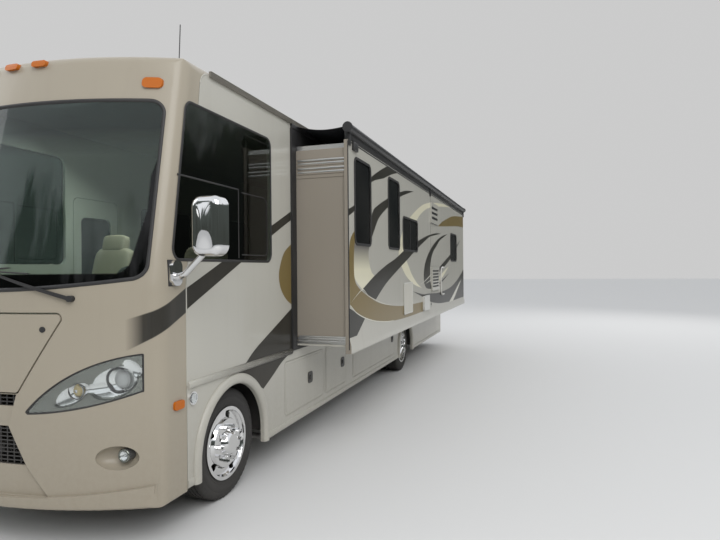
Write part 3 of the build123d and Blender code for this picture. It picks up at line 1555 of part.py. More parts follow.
mirror_base_y = 550.0
mirror_base_z = 1910.0
mirror_base_proud = 34.0
mirror_head_x = 1627.0
mirror_head_y = 470.0
mirror_head_z = 2227.0
mirror_head_width = 236.0
mirror_head_height = 410.0
mirror_head_depth = 120.0
mirror_arm_radius = 22.0
with BuildPart() as mirrors:
    for hand in (1, -1):
        with BuildSketch(side(hand * half_width)):
            with Locations((mirror_base_y, mirror_base_z)):
                RectangleRounded(110, 180, 45)
        extrude(amount=hand * mirror_base_proud)
        with BuildSketch(across(mirror_head_y - mirror_head_depth / 2)):
            with Locations((hand * mirror_head_x, mirror_head_z)):
                RectangleRounded(mirror_head_width, mirror_head_height, 75)
        extrude(amount=-mirror_head_depth)
        head_front = mirrors.faces().filter_by(Axis.Y).sort_by(Axis.Y)[0]
        fillet(head_front.edges(), 50)
        with BuildLine() as arm:
            FilletPolyline(
                at(hand * (half_width + mirror_base_proud / 2), mirror_base_y, mirror_base_z - 30),
                at(hand * (half_width + 100), mirror_base_y - 10, mirror_base_z - 10),
                at(hand * (mirror_head_x - 30), mirror_head_y + 20, mirror_head_z - 160),
                radius=60,
            )
        with BuildSketch(Plane(origin=arm.line @ 0, z_dir=arm.line % 0)):
            Circle(mirror_arm_radius)
        sweep(path=arm.line)
mirrors.part.label = "mirrors"
export_step(mirrors.part, "parts/mirrors.step")

# Roof units: two air conditioners under moulded shrouds, and four vents
with BuildPart() as roof_units:
    for station in (3300.0, rear_y - 2800.0):
        with BuildSketch(level(roof_z)):
            with Locations((0, station)):
                RectangleRounded(720, 1000, 200)
        extrude(amount=330, taper=12)
        shroud_top = roof_units.faces().filter_by(Axis.Z).sort_by_distance(at(0, station, roof_z + 330))[0]
        fillet(shroud_top.edges(), 45)
        with BuildSketch(level(roof_z + 330)):
            with Locations((0, station + 60)):
                with GridLocations(0, 60, 1, 6):
                    Rectangle(360, 26)
        extrude(amount=-20, mode=Mode.SUBTRACT)
    for x, station in ((-500.0, 2200.0), (450.0, 5600.0), (-300.0, 7000.0), (300.0, rear_y - 1100.0)):
        with BuildSketch(level(roof_z)):
            with Locations((x, station)):
                RectangleRounded(420, 420, 80)
        extrude(amount=120, taper=10)
        vent_top = roof_units.faces().filter_by(Axis.Z).sort_by_distance(at(x, station, roof_z + 120))[0]
        fillet(vent_top.edges(), 20)
roof_units.part.label = "roof_units"
export_step(roof_units.part, "parts/roof_units.step")

# Right-hand patio awning: roller tube held by two arms along the wall
awning_front_y = 3000.0
awning_rear_y = 8300.0
awning_z = 3370.0
awning_radius = 55.0
with BuildPart() as patio_awning:
    awning_plane = Plane(
        origin=at(-half_width - awning_radius - 30, awning_front_y, awning_z), x_dir=(-1, 0, 0), z_dir=(0, 1, 0)
    )
    with BuildSketch(awning_plane):
        Circle(awning_radius)
    extrude(amount=awning_rear_y - awning_front_y)
    for station in (awning_front_y - 40, awning_rear_y):
        with BuildSketch(across(station)):
            with Locations((-half_width - 30, (awning_z + 1250) / 2)):
                Rectangle(60, awning_z - 1250)
            with Locations((-half_width - awning_radius - 30, awning_z)):
                Circle(awning_radius + 8)
        extrude(amount=-40)
patio_awning.part.label = "patio_awning"
export_step(patio_awning.part, "parts/patio_awning.step")

# Ladder on the tail
ladder_x = -600.0
with BuildPart() as ladder:
    for offset in (-170.0, 170.0):
        with BuildLine() as rail_path:
            FilletPolyline(
                at(ladder_x + offset, rear_y, 1200),
                at(ladder_x + offset, rear_y + 95, 1200),
                at(ladder_x + offset, rear_y + 95, 3450),
                at(ladder_x + offset, rear_y - 60, 3600),
                at(ladder_x + offset, rear_y - 300, 3600),
                at(ladder_x + offset, rear_y - 300, roof_z),
                radius=20,
            )
        with BuildSketch(Plane(origin=rail_path.line @ 0, z_dir=rail_path.line % 0)):
            Circle(13)
        sweep(path=rail_path.line)
    for rung in range(7):
        with BuildSketch(
            Plane(origin=at(ladder_x - 170, rear_y + 95, 1350 + 300 * rung), x_dir=(0, 1, 0), z_dir=(1, 0, 0))
        ):
            Circle(14)
        extrude(amount=340)
ladder.part.label = "ladder"
export_step(ladder.part, "parts/ladder.step")

# Cockpit: dashboard, steering wheel and two seats
dash_top_z = 1720.0
column_radius = 30.0
column_length = 260.0
wheel_x = 560.0
wheel_tilt = radians(45.0)
wheel_plane = Plane(
    origin=at(wheel_x, 1090, 1790), x_dir=(1, 0, 0), z_dir=(0, sin(wheel_tilt), cos(wheel_tilt))
)
with BuildPart() as dashboard:
    with BuildSketch(side(-half_width + 140)):
        with BuildLine():
            Polyline(
                (500, 1300),
                (500, dash_top_z),
                (760, dash_top_z),
                (960, dash_top_z - 120),
                (940, floor_top_z + 260),
                (800, floor_top_z),
                (700, floor_top_z),
                close=True,
            )
        make_face()
    extrude(amount=2 * (half_width - 140))
    with BuildSketch(wheel_plane):
        Circle(column_radius + bearing_gap)
    extrude(amount=-column_length, mode=Mode.SUBTRACT)
dashboard.part.label = "dashboard"
export_step(dashboard.part, "parts/dashboard.step")

with BuildPart() as steering_wheel:
    with BuildSketch(wheel_plane):
        Circle(225)
        Circle(195, mode=Mode.SUBTRACT)
        Rectangle(400, 40)
        Circle(60)
    extrude(amount=26)
    with BuildSketch(wheel_plane):
        Circle(column_radius)
    extrude(amount=-column_length)
steering_wheel.part.label = "steering_wheel"
export_step(steering_wheel.part, "parts/steering_wheel.step")

with BuildPart() as front_seats:
    for hand in (1, -1):
        with BuildSketch(side(hand * wheel_x - 260)):
            with BuildLine():
                Polyline(
                    (1420, 1420),
                    (1420, 1560),
                    (1860, 1540),
                    (2010, 2320),
                    (2120, 2320),
                    (1990, 1420),
                    close=True,
                )
            make_face()
            fillet(vertices(), 40)
        extrude(amount=520)
        with BuildSketch(level(floor_top_z)):
            with Locations((hand * wheel_x, 1700)):
                RectangleRounded(320, 340, 40)
        extrude(amount=330)
front_seats.part.label = "front_seats"
export_step(front_seats.part, "parts/front_seats.step")
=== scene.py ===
import json
import math

import bmesh
import bpy
from mathutils import Matrix, Vector


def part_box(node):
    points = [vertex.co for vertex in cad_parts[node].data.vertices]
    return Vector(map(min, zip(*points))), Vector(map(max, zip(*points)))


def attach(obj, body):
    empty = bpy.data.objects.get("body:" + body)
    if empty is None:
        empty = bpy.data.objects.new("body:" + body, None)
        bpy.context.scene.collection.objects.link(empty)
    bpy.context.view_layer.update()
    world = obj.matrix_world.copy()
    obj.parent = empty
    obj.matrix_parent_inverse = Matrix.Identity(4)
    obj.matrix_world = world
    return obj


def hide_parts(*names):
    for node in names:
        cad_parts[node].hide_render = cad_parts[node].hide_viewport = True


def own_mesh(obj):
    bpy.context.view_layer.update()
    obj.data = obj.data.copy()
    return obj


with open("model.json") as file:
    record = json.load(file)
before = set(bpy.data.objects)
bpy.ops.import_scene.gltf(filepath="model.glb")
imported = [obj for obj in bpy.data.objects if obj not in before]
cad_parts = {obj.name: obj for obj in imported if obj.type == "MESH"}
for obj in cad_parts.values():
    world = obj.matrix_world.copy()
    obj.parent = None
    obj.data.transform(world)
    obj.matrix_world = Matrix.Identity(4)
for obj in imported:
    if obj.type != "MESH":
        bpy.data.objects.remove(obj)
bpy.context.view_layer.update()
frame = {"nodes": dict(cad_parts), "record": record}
nodes = frame["nodes"]
scene = bpy.context.scene

# The view: a camera at the height of a person's eye, off the coach's front left corner,
# as far away as the one that took the photograph and with the same lens.
image_width = 720
focal_pixels = 555.06
camera_place = (3.6682, -8.5787, 1.9264)
yaw = math.radians(18.225)
pitch = math.radians(-0.088)
roll = math.radians(-0.488)
forward = Vector((-math.sin(yaw) * math.cos(pitch), math.cos(yaw) * math.cos(pitch), math.sin(pitch)))
level_right = Vector((math.cos(yaw), math.sin(yaw), 0.0))
level_up = level_right.cross(forward)
right = math.cos(roll) * level_right + math.sin(roll) * level_up
up = math.cos(roll) * level_up - math.sin(roll) * level_right
camera_data = bpy.data.cameras.new("photo_camera")
camera_data.sensor_width = 36.0
camera_data.lens = focal_pixels * camera_data.sensor_width / image_width
camera_data.clip_end = 200.0
camera = bpy.data.objects.new("photo_camera", camera_data)
camera.matrix_world = Matrix(
    (
        (right.x, up.x, -forward.x, camera_place[0]),
        (right.y, up.y, -forward.y, camera_place[1]),
        (right.z, up.z, -forward.z, camera_place[2]),
        (0.0, 0.0, 0.0, 1.0),
    )
)
scene.collection.objects.link(camera)
scene.camera = camera
scene.view_settings.view_transform = "Standard"

# Centreline and station datum of the coach in the model's frame, as the frame's own
# pieces give them: widths are measured from the one and stations from the other.
rail_low, rail_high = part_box("chassis_frame")
centreline = (rail_low.x + rail_high.x) / 2
rail_station = 0.420
datum = rail_low.y - rail_station
half_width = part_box("left_wall")[1].x - centreline
# The room's outer wall ends in a flange at its foot that stands out by 20 mm
slide_flange = 0.020
slide_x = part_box("slide_outer_wall")[1].x - centreline - slide_flange


def place(x, y, z):
    """A point by its width from the centreline, its station and its height."""
    return Vector((centreline + x, datum + y, z))


# Studio: a plain pale backdrop, and for light and reflections a pale sky over a band as
# dark as a row of trees, with wide soft lamps over the coach's shoulders and behind it.


def maths(tree, operation, first, second=0.0):
    """A maths node on two sockets or numbers; gives its output socket."""
    node = tree.nodes.new("ShaderNodeMath")
    node.operation = operation
    for socket, value in zip(node.inputs, (first, second)):
        if isinstance(value, (int, float)):
            socket.default_value = value
        else:
            tree.links.new(value, socket)
    return node.outputs["Value"]


def noise(tree, vector, scale, detail=3.0, roughness=0.5):
    """A noise texture on a vector socket; gives its value socket."""
    node = tree.nodes.new("ShaderNodeTexNoise")
    node.inputs["Scale"].default_value = scale
    node.inputs["Detail"].default_value = detail
    node.inputs["Roughness"].default_value = roughness
    tree.links.new(vector, node.inputs["Vector"])
    return node.outputs["Fac"]


def stretched(tree, vector, scale):
    """Coordinates stretched by three factors."""
    node = tree.nodes.new("ShaderNodeMapping")
    node.inputs["Scale"].default_value = scale
    tree.links.new(vector, node.inputs["Vector"])
    return node.outputs["Vector"]


world = bpy.data.worlds.new("pale_studio")
scene.world = world
world.use_nodes = True
sky = world.node_tree
sky_way = sky.nodes.new("ShaderNodeTexCoord").outputs["Generated"]
sky_split = sky.nodes.new("ShaderNodeSeparateXYZ")
sky.links.new(sky_way, sky_split.inputs["Vector"])
# An uneven top to the dark band, as treetops have, whose height wanders by this in all
treetop_sway = 0.75
treetops = noise(sky, stretched(sky, sky_way, (1.0, 1.0, 0.32)), 5.0, 5.0, 0.62)
lowered = maths(sky, "ADD", maths(sky, "MULTIPLY", treetops, -treetop_sway), sky_split.outputs["Z"])
sky_ramp = sky.nodes.new("ShaderNodeValToRGB")
sky.links.new(maths(sky, "ADD", lowered, treetop_sway / 2), sky_ramp.inputs["Fac"])
sky_tones = (
    # height, colour
    (0.0, (0.045, 0.050, 0.045)),
    (0.28, (0.07, 0.08, 0.075)),
    (0.37, (0.82, 0.84, 0.87)),
    (1.0, (0.72, 0.74, 0.78)),
)
while len(sky_ramp.color_ramp.elements) < len(sky_tones):
    sky_ramp.color_ramp.elements.new(0.5)
for element, (position, tone) in zip(sky_ramp.color_ramp.elements, sky_tones):
    element.position = position
    element.color = (*tone, 1.0)
sky_background = sky.nodes["Background"]
sky_background.inputs["Strength"].default_value = 1.15
sky.links.new(sky_ramp.outputs["Color"], sky_background.inputs["Color"])
backdrop = sky.nodes.new("ShaderNodeBackground")
backdrop.inputs["Color"].default_value = (0.60, 0.60, 0.60, 1.0)
backdrop.inputs["Strength"].default_value = 1.0
seen_directly = sky.nodes.new("ShaderNodeLightPath")
sky_choice = sky.nodes.new("ShaderNodeMixShader")
sky.links.new(seen_directly.outputs["Is Camera Ray"], sky_choice.inputs["Fac"])
sky.links.new(sky_background.outputs["Background"], sky_choice.inputs[1])
sky.links.new(backdrop.outputs["Background"], sky_choice.inputs[2])
sky.links.new(sky_choice.outputs["Shader"], sky.nodes["World Output"].inputs["Surface"])


def soft_lamp(name, location, target, size, power):
    """A square area lamp that looks at a point."""
    data = bpy.data.lights.new(name, "AREA")
    data.shape = "SQUARE"
    data.size = size
    data.energy = power
    lamp = bpy.data.objects.new(name, data)
    lamp.location = location
    lamp.rotation_euler = (Vector(target) - Vector(location)).to_track_quat("-Z", "Y").to_euler()
    # The lamp lights the coach but isn't seen itself through the glass
    lamp.visible_camera = False
    lamp.visible_transmission = False
    scene.collection.objects.link(lamp)
    return lamp


soft_lamp("key_lamp", (8.0, -13.0, 10.0), (0.3, -2.0, 1.0), 9.0, 900.0)
soft_lamp("fill_lamp", (-12.0, -8.0, 9.0), (-0.5, 0.0, 1.5), 9.0, 300.0)
back_lamp = soft_lamp("back_lamp", (8.0, 13.0, 9.0), (0.0, 3.0, 1.5), 8.0, 400.0)
back_lamp.visible_glossy = False
# Daylight inside the cab, which the glass would hold back
cab_lamp = soft_lamp("cab_lamp", place(0.0, 1.9, 3.2), place(0.0, 1.2, 1.6), 1.2, 22.0)
cab_lamp.visible_glossy = False


def fresh_material(name, colour, roughness, metallic=0.0):
    """A material with its constant values set, and its shader to build on."""
    material = bpy.data.materials.new(name)
    material.use_nodes = True
    shader = material.node_tree.nodes["Principled BSDF"]
    shader.inputs["Base Color"].default_value = (*colour, 1.0)
    shader.inputs["Roughness"].default_value = roughness
    shader.inputs["Metallic"].default_value = metallic
    return material, shader


floor_reach = 90.0
floor_mesh = bmesh.new()
bmesh.ops.create_grid(floor_mesh, x_segments=2, y_segments=2, size=floor_reach)
floor_data = bpy.data.meshes.new("studio_floor")
floor_mesh.to_mesh(floor_data)
floor_mesh.free()
studio_floor = bpy.data.objects.new("studio_floor", floor_data)
scene.collection.objects.link(studio_floor)
floor_data.materials.append(fresh_material("studio_floor", (0.66, 0.655, 0.64), 0.9)[0])

# Chassis and running gear: steel rails painted black, cast engine, axles and knuckles, a
# plastic tank, galvanised luggage bays and exhaust. Over it all, as over the rest of the
# coach, lies a film of road dust that thickens towards the ground and is streaked by rain.


def add_socket(group, name, direction, kind, value=None):
    """A named input or output on a node group."""
    socket = group.interface.new_socket(name=name, in_out=direction, socket_type=kind)
    if value is not None:
        socket.default_value = value


def remap(tree, value, low, high, low_out=0.0, high_out=1.0):
    """A clamped change of range; gives its output socket."""
    node = tree.nodes.new("ShaderNodeMapRange")
    for name, number in (("From Min", low), ("From Max", high), ("To Min", low_out), ("To Max", high_out)):
        node.inputs[name].default_value = number
    tree.links.new(value, node.inputs["Value"])
    return node.outputs["Result"]


def mixed(tree, factor, first, second):
    """Two colours mixed by a factor socket or number; gives the colour socket."""
    node = tree.nodes.new("ShaderNodeMix")
    node.data_type = "RGBA"
    # A Mix node has a set of sockets for each kind of data: 0, 6 and 7 serve colours
    for socket, value in ((node.inputs[0], factor), (node.inputs[6], first), (node.inputs[7], second)):
        if isinstance(value, (int, float)):
            socket.default_value = value
        elif isinstance(value, tuple):
            socket.default_value = (*value, 1.0)
        else:
            tree.links.new(value, socket)
    return node.outputs[2]


dry_dust = (0.24, 0.20, 0.15)
film = bpy.data.node_groups.new("road_film", "ShaderNodeTree")
add_socket(film, "Colour", "INPUT", "NodeSocketColor")
add_socket(film, "Dust Colour", "INPUT", "NodeSocketColor", (*dry_dust, 1.0))
add_socket(film, "Amount", "INPUT", "NodeSocketFloat", 0.5)
add_socket(film, "Roughness", "INPUT", "NodeSocketFloat", 0.3)
add_socket(film, "Colour", "OUTPUT", "NodeSocketColor")
add_socket(film, "Roughness", "OUTPUT", "NodeSocketFloat")
film_in = film.nodes.new("NodeGroupInput")
film_out = film.nodes.new("NodeGroupOutput")
film_place = film.nodes.new("ShaderNodeTexCoord").outputs["Object"]
film_split = film.nodes.new("ShaderNodeSeparateXYZ")
film.links.new(film_place, film_split.inputs["Vector"])
low_down = remap(film, film_split.outputs["Z"], 1.25, 0.30)
speckle = noise(film, film_place, 28.0, 6.0, 0.7)
streaks = noise(film, stretched(film, film_place, (7.0, 7.0, 0.5)), 1.0, 4.0, 0.6)
broad = noise(film, film_place, 0.9, 2.0)
dusty = maths(film, "MULTIPLY", low_down, remap(film, speckle, 0.35, 0.75, 0.45, 1.0))
rain = maths(film, "MULTIPLY", remap(film, streaks, 0.52, 0.80), 0.30)
covered = maths(film, "MULTIPLY", maths(film, "ADD", dusty, rain), film_in.outputs["Amount"])
tone = mixed(film, remap(film, broad, 0.3, 0.7, 0.0, 0.07), film_in.outputs["Colour"], (0.30, 0.28, 0.25))
film.links.new(mixed(film, covered, tone, film_in.outputs["Dust Colour"]), film_out.inputs["Colour"])
film.links.new(
    maths(film, "ADD", film_in.outputs["Roughness"], maths(film, "MULTIPLY", covered, 0.5)),
    film_out.inputs["Roughness"],
)

grain = bpy.data.node_groups.new("surface_grain", "ShaderNodeTree")
add_socket(grain, "Fine Scale", "INPUT", "NodeSocketFloat", 400.0)
add_socket(grain, "Broad Scale", "INPUT", "NodeSocketFloat", 4.0)
add_socket(grain, "Fine Share", "INPUT", "NodeSocketFloat", 0.2)
add_socket(grain, "Height", "OUTPUT", "NodeSocketFloat")
grain_in = grain.nodes.new("NodeGroupInput")
grain_out = grain.nodes.new("NodeGroupOutput")
grain_place = grain.nodes.new("ShaderNodeTexCoord").outputs["Object"]
grain_layers = []
for socket_name in ("Fine Scale", "Broad Scale"):
    layer = grain.nodes.new("ShaderNodeTexNoise")
    layer.inputs["Detail"].default_value = 2.0
    grain.links.new(grain_place, layer.inputs["Vector"])
    grain.links.new(grain_in.outputs[socket_name], layer.inputs["Scale"])
    grain_layers.append(layer.outputs["Fac"])
fine_height = maths(grain, "MULTIPLY", grain_layers[0], grain_in.outputs["Fine Share"])
grain.links.new(maths(grain, "ADD", fine_height, grain_layers[1]), grain_out.inputs["Height"])


def add_film(material, shader, amount, dust=dry_dust):
    """Road film over a material's own colour and roughness."""
    tree = material.node_tree
    node = tree.nodes.new("ShaderNodeGroup")
    node.node_tree = film
    colour_socket = shader.inputs["Base Color"]
    if colour_socket.is_linked:
        tree.links.new(colour_socket.links[0].from_socket, node.inputs["Colour"])
    else:
        node.inputs["Colour"].default_value = colour_socket.default_value
    node.inputs["Dust Colour"].default_value = (*dust, 1.0)
    node.inputs["Amount"].default_value = amount
    node.inputs["Roughness"].default_value = shader.inputs["Roughness"].default_value
    tree.links.new(node.outputs["Colour"], shader.inputs["Base Color"])
    tree.links.new(node.outputs["Roughness"], shader.inputs["Roughness"])


def add_grain(material, shader, fine, broad, share, depth, soften=0.0):
    """Bump from the shared grain, with the piece's edges rounded over by a radius."""
    tree = material.node_tree
    node = tree.nodes.new("ShaderNodeGroup")
    node.node_tree = grain
    node.inputs["Fine Scale"].default_value = fine
    node.inputs["Broad Scale"].default_value = broad
    node.inputs["Fine Share"].default_value = share
    bump = tree.nodes.new("ShaderNodeBump")
    bump.inputs["Distance"].default_value = depth
    bump.inputs["Strength"].default_value = 1.0
    tree.links.new(node.outputs["Height"], bump.inputs["Height"])
    if soften:
        bevel = tree.nodes.new("ShaderNodeBevel")
        bevel.samples = 4
        bevel.inputs["Radius"].default_value = soften
        tree.links.new(bevel.outputs["Normal"], bump.inputs["Normal"])
    tree.links.new(bump.outputs["Normal"], shader.inputs["Normal"])


def moulded(
    name, colour, roughness, film_amount=0.3, fine=650.0, depth=0.0004, soften=0.003, dust=dry_dust
):
    """Moulded plastic, rubber or cast surface with a fine pebbled skin."""
    material, shader = fresh_material(name, colour, roughness)
    add_film(material, shader, film_amount, dust)
    add_grain(material, shader, fine, 9.0, 0.6, depth, soften)
    return material


def metal(name, colour, roughness, film_amount=0.1, direction=(4.0, 400.0, 400.0), depth=0.0002):
    """Metal with fine lines drawn along one direction."""
    material, shader = fresh_material(name, colour, roughness, 1.0)
    tree = material.node_tree
    place_socket = tree.nodes.new("ShaderNodeTexCoord").outputs["Object"]
    lines = noise(tree, stretched(tree, place_socket, direction), 1.0, 3.0, 0.6)
    add_film(material, shader, film_amount)
    bump = tree.nodes.new("ShaderNodeBump")
    bump.inputs["Distance"].default_value = depth
    tree.links.new(lines, bump.inputs["Height"])
    tree.links.new(bump.outputs["Normal"], shader.inputs["Normal"])
    return material


# Each piece of the frame that shows gets its finish. Curved ones, and those of several
# finishes, are shown by a copy whose points are merged and whose curves are smooth.
body_of_node = {
    node_name: body_name
    for body_name, members in frame["record"]["behaviour"]["bodies"].items()
    for node_name in members
}


def finished(name, shape, finishes, body="coach", sharp=30.0):
    """A piece from a bmesh, smooth over its shallow edges, that rides a body."""
    for edge in shape.edges:
        edge.smooth = edge.is_manifold and edge.calc_face_angle() < math.radians(sharp)
    for face in shape.faces:
        face.smooth = True
    data = bpy.data.meshes.new(name)
    shape.to_mesh(data)
    shape.free()
    for finish in finishes:
        data.materials.append(finish)
    piece = bpy.data.objects.new(name, data)
    scene.collection.objects.link(piece)
    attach(piece, body)
    return piece


def merged(node_name):
    """A copy of a CAD node's mesh with the points that its faces share merged."""
    shape = bmesh.new()
    shape.from_mesh(nodes[node_name].data)
    bmesh.ops.remove_doubles(shape, verts=shape.verts, dist=0.00002)
    return shape


def coated(finish, *node_names):
    """Gives its finish to each piece of the frame that shows as it is."""
    for node_name in node_names:
        nodes[node_name].data.materials.clear()
        nodes[node_name].data.materials.append(finish)


def dressed(node_name, finish, *others, reshape=None):
    """A smooth copy of a CAD node, which it replaces. others are pairs of a finish and a
    test: a face whose middle, from the coach's own datum, and normal pass takes it.
    reshape is a function that alters the copy first."""
    shape = merged(node_name)
    if reshape:
        reshape(shape)
    shape.normal_update()
    origin = place(0.0, 0.0, 0.0)
    for face in shape.faces:
        middle = face.calc_center_median() - origin
        face.material_index = 0
        for number, (_, test) in enumerate(others, 1):
            if test(middle, face.normal):
                face.material_index = number
    finishes = [finish] + [other for other, _ in others]
    piece = finished(f"{node_name}_skin", shape, finishes, body_of_node[node_name])
    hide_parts(node_name)


black_trim = moulded("black_trim", (0.018, 0.018, 0.019), 0.42, 0.12)
chassis_paint = moulded("chassis_black", (0.022, 0.022, 0.023), 0.50, 0.6)
cast_metal = moulded("cast_metal", (0.060, 0.055, 0.050), 0.62, 0.8, 220.0, 0.0012)
galvanised = metal("galvanised_sheet", (0.42, 0.43, 0.44), 0.42, 0.6, (40.0, 40.0, 40.0))
coated(chassis_paint, "chassis_frame", "frame_crossmembers", "hitch_receiver", "tie_rod")
coated(cast_metal, "engine", "front_axle", "rear_axle", "steering_knuckle_left", "steering_knuckle_right")
coated(black_trim, "fuel_tank", "wheel_wells")
coated(galvanised, "storage_bays")
dressed("exhaust", galvanised)

# Floor and cab: a board floor on the chassis, and at the windscreen's foot a dashboard
# moulded in vinyl, with the steering wheel's black rim ahead of the driver's seat.
floor_board = moulded("floor_board", (0.22, 0.17, 0.12), 0.60, 0.3, 90.0, 0.0008)
interior_vinyl = moulded("interior_vinyl", (0.46, 0.44, 0.38), 0.55, 0.0, 500.0, 0.0006)
coated(floor_board, "floor")
coated(interior_vinyl, "dashboard")
coated(black_trim, "steering_wheel")

# Walls: flat laminated panels with a pale gelcoat, sprayed and so a little uneven, that
# stand on the floor's edges, and the basement walls below them in the same finish.


def painted(name, colour, roughness=0.28, coat=0.12, film_amount=0.35, pattern=None, gloss=0.35):
    """Sprayed and clear-coated skin with a slow waviness and road film. A pattern is a
    function that makes the colour's socket in the material's tree."""
    material, shader = fresh_material(name, colour, roughness)
    shader.inputs["Coat Weight"].default_value = coat
    shader.inputs["Coat Roughness"].default_value = 0.06
    shader.inputs["Specular IOR Level"].default_value = gloss
    if pattern:
        material.node_tree.links.new(pattern(material.node_tree), shader.inputs["Base Color"])
    add_film(material, shader, film_amount)
    add_grain(material, shader, 900.0, 2.2, 0.02, 0.0010, soften=0.003)
    return material


wall_gelcoat = painted("pale_gelcoat", (0.485, 0.470, 0.415), 0.32, 0.30, 0.30)
coated(wall_gelcoat, "left_wall", "right_wall")
dressed("basement_walls", wall_gelcoat)

# Caps, hood and grilles: shells moulded in glass fibre and painted champagne, fixed on the
# ends of the walls. The front one is bowed and leans back above the belt, and the flank's
# dark stripe fades out round its corner. Black honeycomb grilles clip into its openings.


def coach_axes(tree):
    """Sockets for a shaded point's width, station and height on the coach."""
    shifted = tree.nodes.new("ShaderNodeMapping")
    shifted.inputs["Location"].default_value = (-centreline, -datum, 0.0)
    tree.links.new(tree.nodes.new("ShaderNodeTexCoord").outputs["Object"], shifted.inputs["Vector"])
    split = tree.nodes.new("ShaderNodeSeparateXYZ")
    tree.links.new(shifted.outputs["Vector"], split.inputs["Vector"])
    return split.outputs["X"], split.outputs["Y"], split.outputs["Z"]


def band_between(tree, value, low, high, edge):
    """1 where a value lies between two others, each a socket or a number, and 0 outside."""
    above = remap(tree, maths(tree, "SUBTRACT", value, low), -edge, edge)
    below = remap(tree, maths(tree, "SUBTRACT", value, high), -edge, edge, 1.0, 0.0)
    return maths(tree, "MULTIPLY", above, below)


stripe_dark = (0.025, 0.023, 0.018)
cap_colour = (0.368, 0.326, 0.255)


def sloped(tree, station, width, rise, spread, start):
    """Height of a stripe's edge: what it rises per metre back and per metre out, and its start."""
    along = maths(tree, "MULTIPLY", station, rise)
    return maths(tree, "ADD", maths(tree, "ADD", along, maths(tree, "MULTIPLY", width, spread)), start)


def cap_stripe(tree):
    """Champagne paint with the flank's dark stripe fading out round the cap's corner."""
    x, y, z = coach_axes(tree)
    width = maths(tree, "ABSOLUTE", x)
    top = sloped(tree, y, width, 0.4913, 0.111, 1.3187)
    low = sloped(tree, y, width, 0.4588, 0.319, 0.8944)
    within = band_between(tree, z, low, top, 0.004)
    fade = remap(tree, y, 0.318, 0.368)
    return mixed(tree, maths(tree, "MULTIPLY", within, fade), cap_colour, stripe_dark)


# The cap's front is bowed across by a radius, and leans back above the belt by nose_lean
# per metre. Its two upright corners, where it meets its flat sides, are rounded.
nose_corner = (1.282, 0.4279)
nose_station = 0.1
nose_bow = 2.669
corner_radius = 0.145
corner_strips = 8
belt_height = 1.82
nose_lean = 0.174
lip_height, lip_reach = 0.458, 0.022


def bowed_front(x):
    """Station of the cap's front face below the belt, at a width."""
    return nose_station + nose_bow - math.sqrt(nose_bow**2 - x * x)


def cut_through(shape, faces, point, way):
    """Cuts some of a shape's faces along the plane through a point, square to a way."""
    around = set(faces)
    for face in faces:
        around.update(face.edges)
        around.update(face.verts)
    bmesh.ops.bisect_plane(shape, geom=list(around), plane_co=point, plane_no=way, dist=0.0002)


def round_corners(shape):
    """Cuts the cap's skin round each upright corner into strips and draws them in to a
    quarter turn's arc of the corner's radius."""
    corner_x, corner_y = nose_corner
    # The way out of the front face at the corner, and of the side face
    front_way = Vector((corner_x, corner_y - nose_station - nose_bow)).normalized()
    side_way = Vector((1.0, 0.0))
    halfway = (front_way + side_way).normalized()
    centre = Vector(nose_corner) - halfway * corner_radius / halfway.dot(side_way)
    start = math.atan2(front_way.y, front_way.x)
    for hand in (1.0, -1.0):
        for lean, z_low, z_high in ((0.0, 0.0, belt_height), (nose_lean, belt_height, 9.0)):
            for step in range(corner_strips + 1):
                angle = start * (1 - step / corner_strips)
                # A plane through the arc's own axis, at this angle round it
                base = place(hand * centre.x, centre.y, belt_height)
                across_way = Vector((-hand * math.sin(angle), math.cos(angle), -lean * math.cos(angle)))
                near_corner = [
                    face
                    for face in shape.faces
                    if all((vert.co.x - centreline) * hand > 1.10 for vert in face.verts)
                    and all(z_low - 0.001 <= vert.co.z <= z_high + 0.001 for vert in face.verts)
                ]
                cut_through(shape, near_corner, base, across_way)
        for vert in shape.verts:
            x, y, z = vert.co - place(0.0, 0.0, 0.0)
            lean_back = max(z - belt_height, 0.0) * nose_lean
            proud = lip_reach if z < lip_height else 0.0
            out = Vector((x * hand, y - lean_back + proud)) - centre
            angle = math.atan2(out.y, out.x)
            if x * hand > 1.0 and start < angle < 0.0 and out.length > corner_radius:
                drawn = centre + out.normalized() * corner_radius
                vert.co = place(hand * drawn.x, drawn.y + lean_back - proud, z)


cap_paint = painted("champagne_paint", cap_colour, pattern=cap_stripe)
plain_champagne = painted("plain_champagne", cap_colour)
dressed("front_cap", cap_paint, reshape=round_corners)
dressed("rear_cap", plain_champagne)
# The hood has a round black lock
hood_lock = (black_trim, lambda middle, normal: math.hypot(abs(middle.x) - 0.515, middle.z - 1.531) < 0.022)
dressed("hood", plain_champagne, hood_lock)
dressed("grilles", black_trim)

# Windscreen and side windows: the screen is one wide bent pane, black round its border
# and tinted at its head, with two wipers parked on its foot. The side panes are dark
# tinted glass, and those of the cab a lighter one.


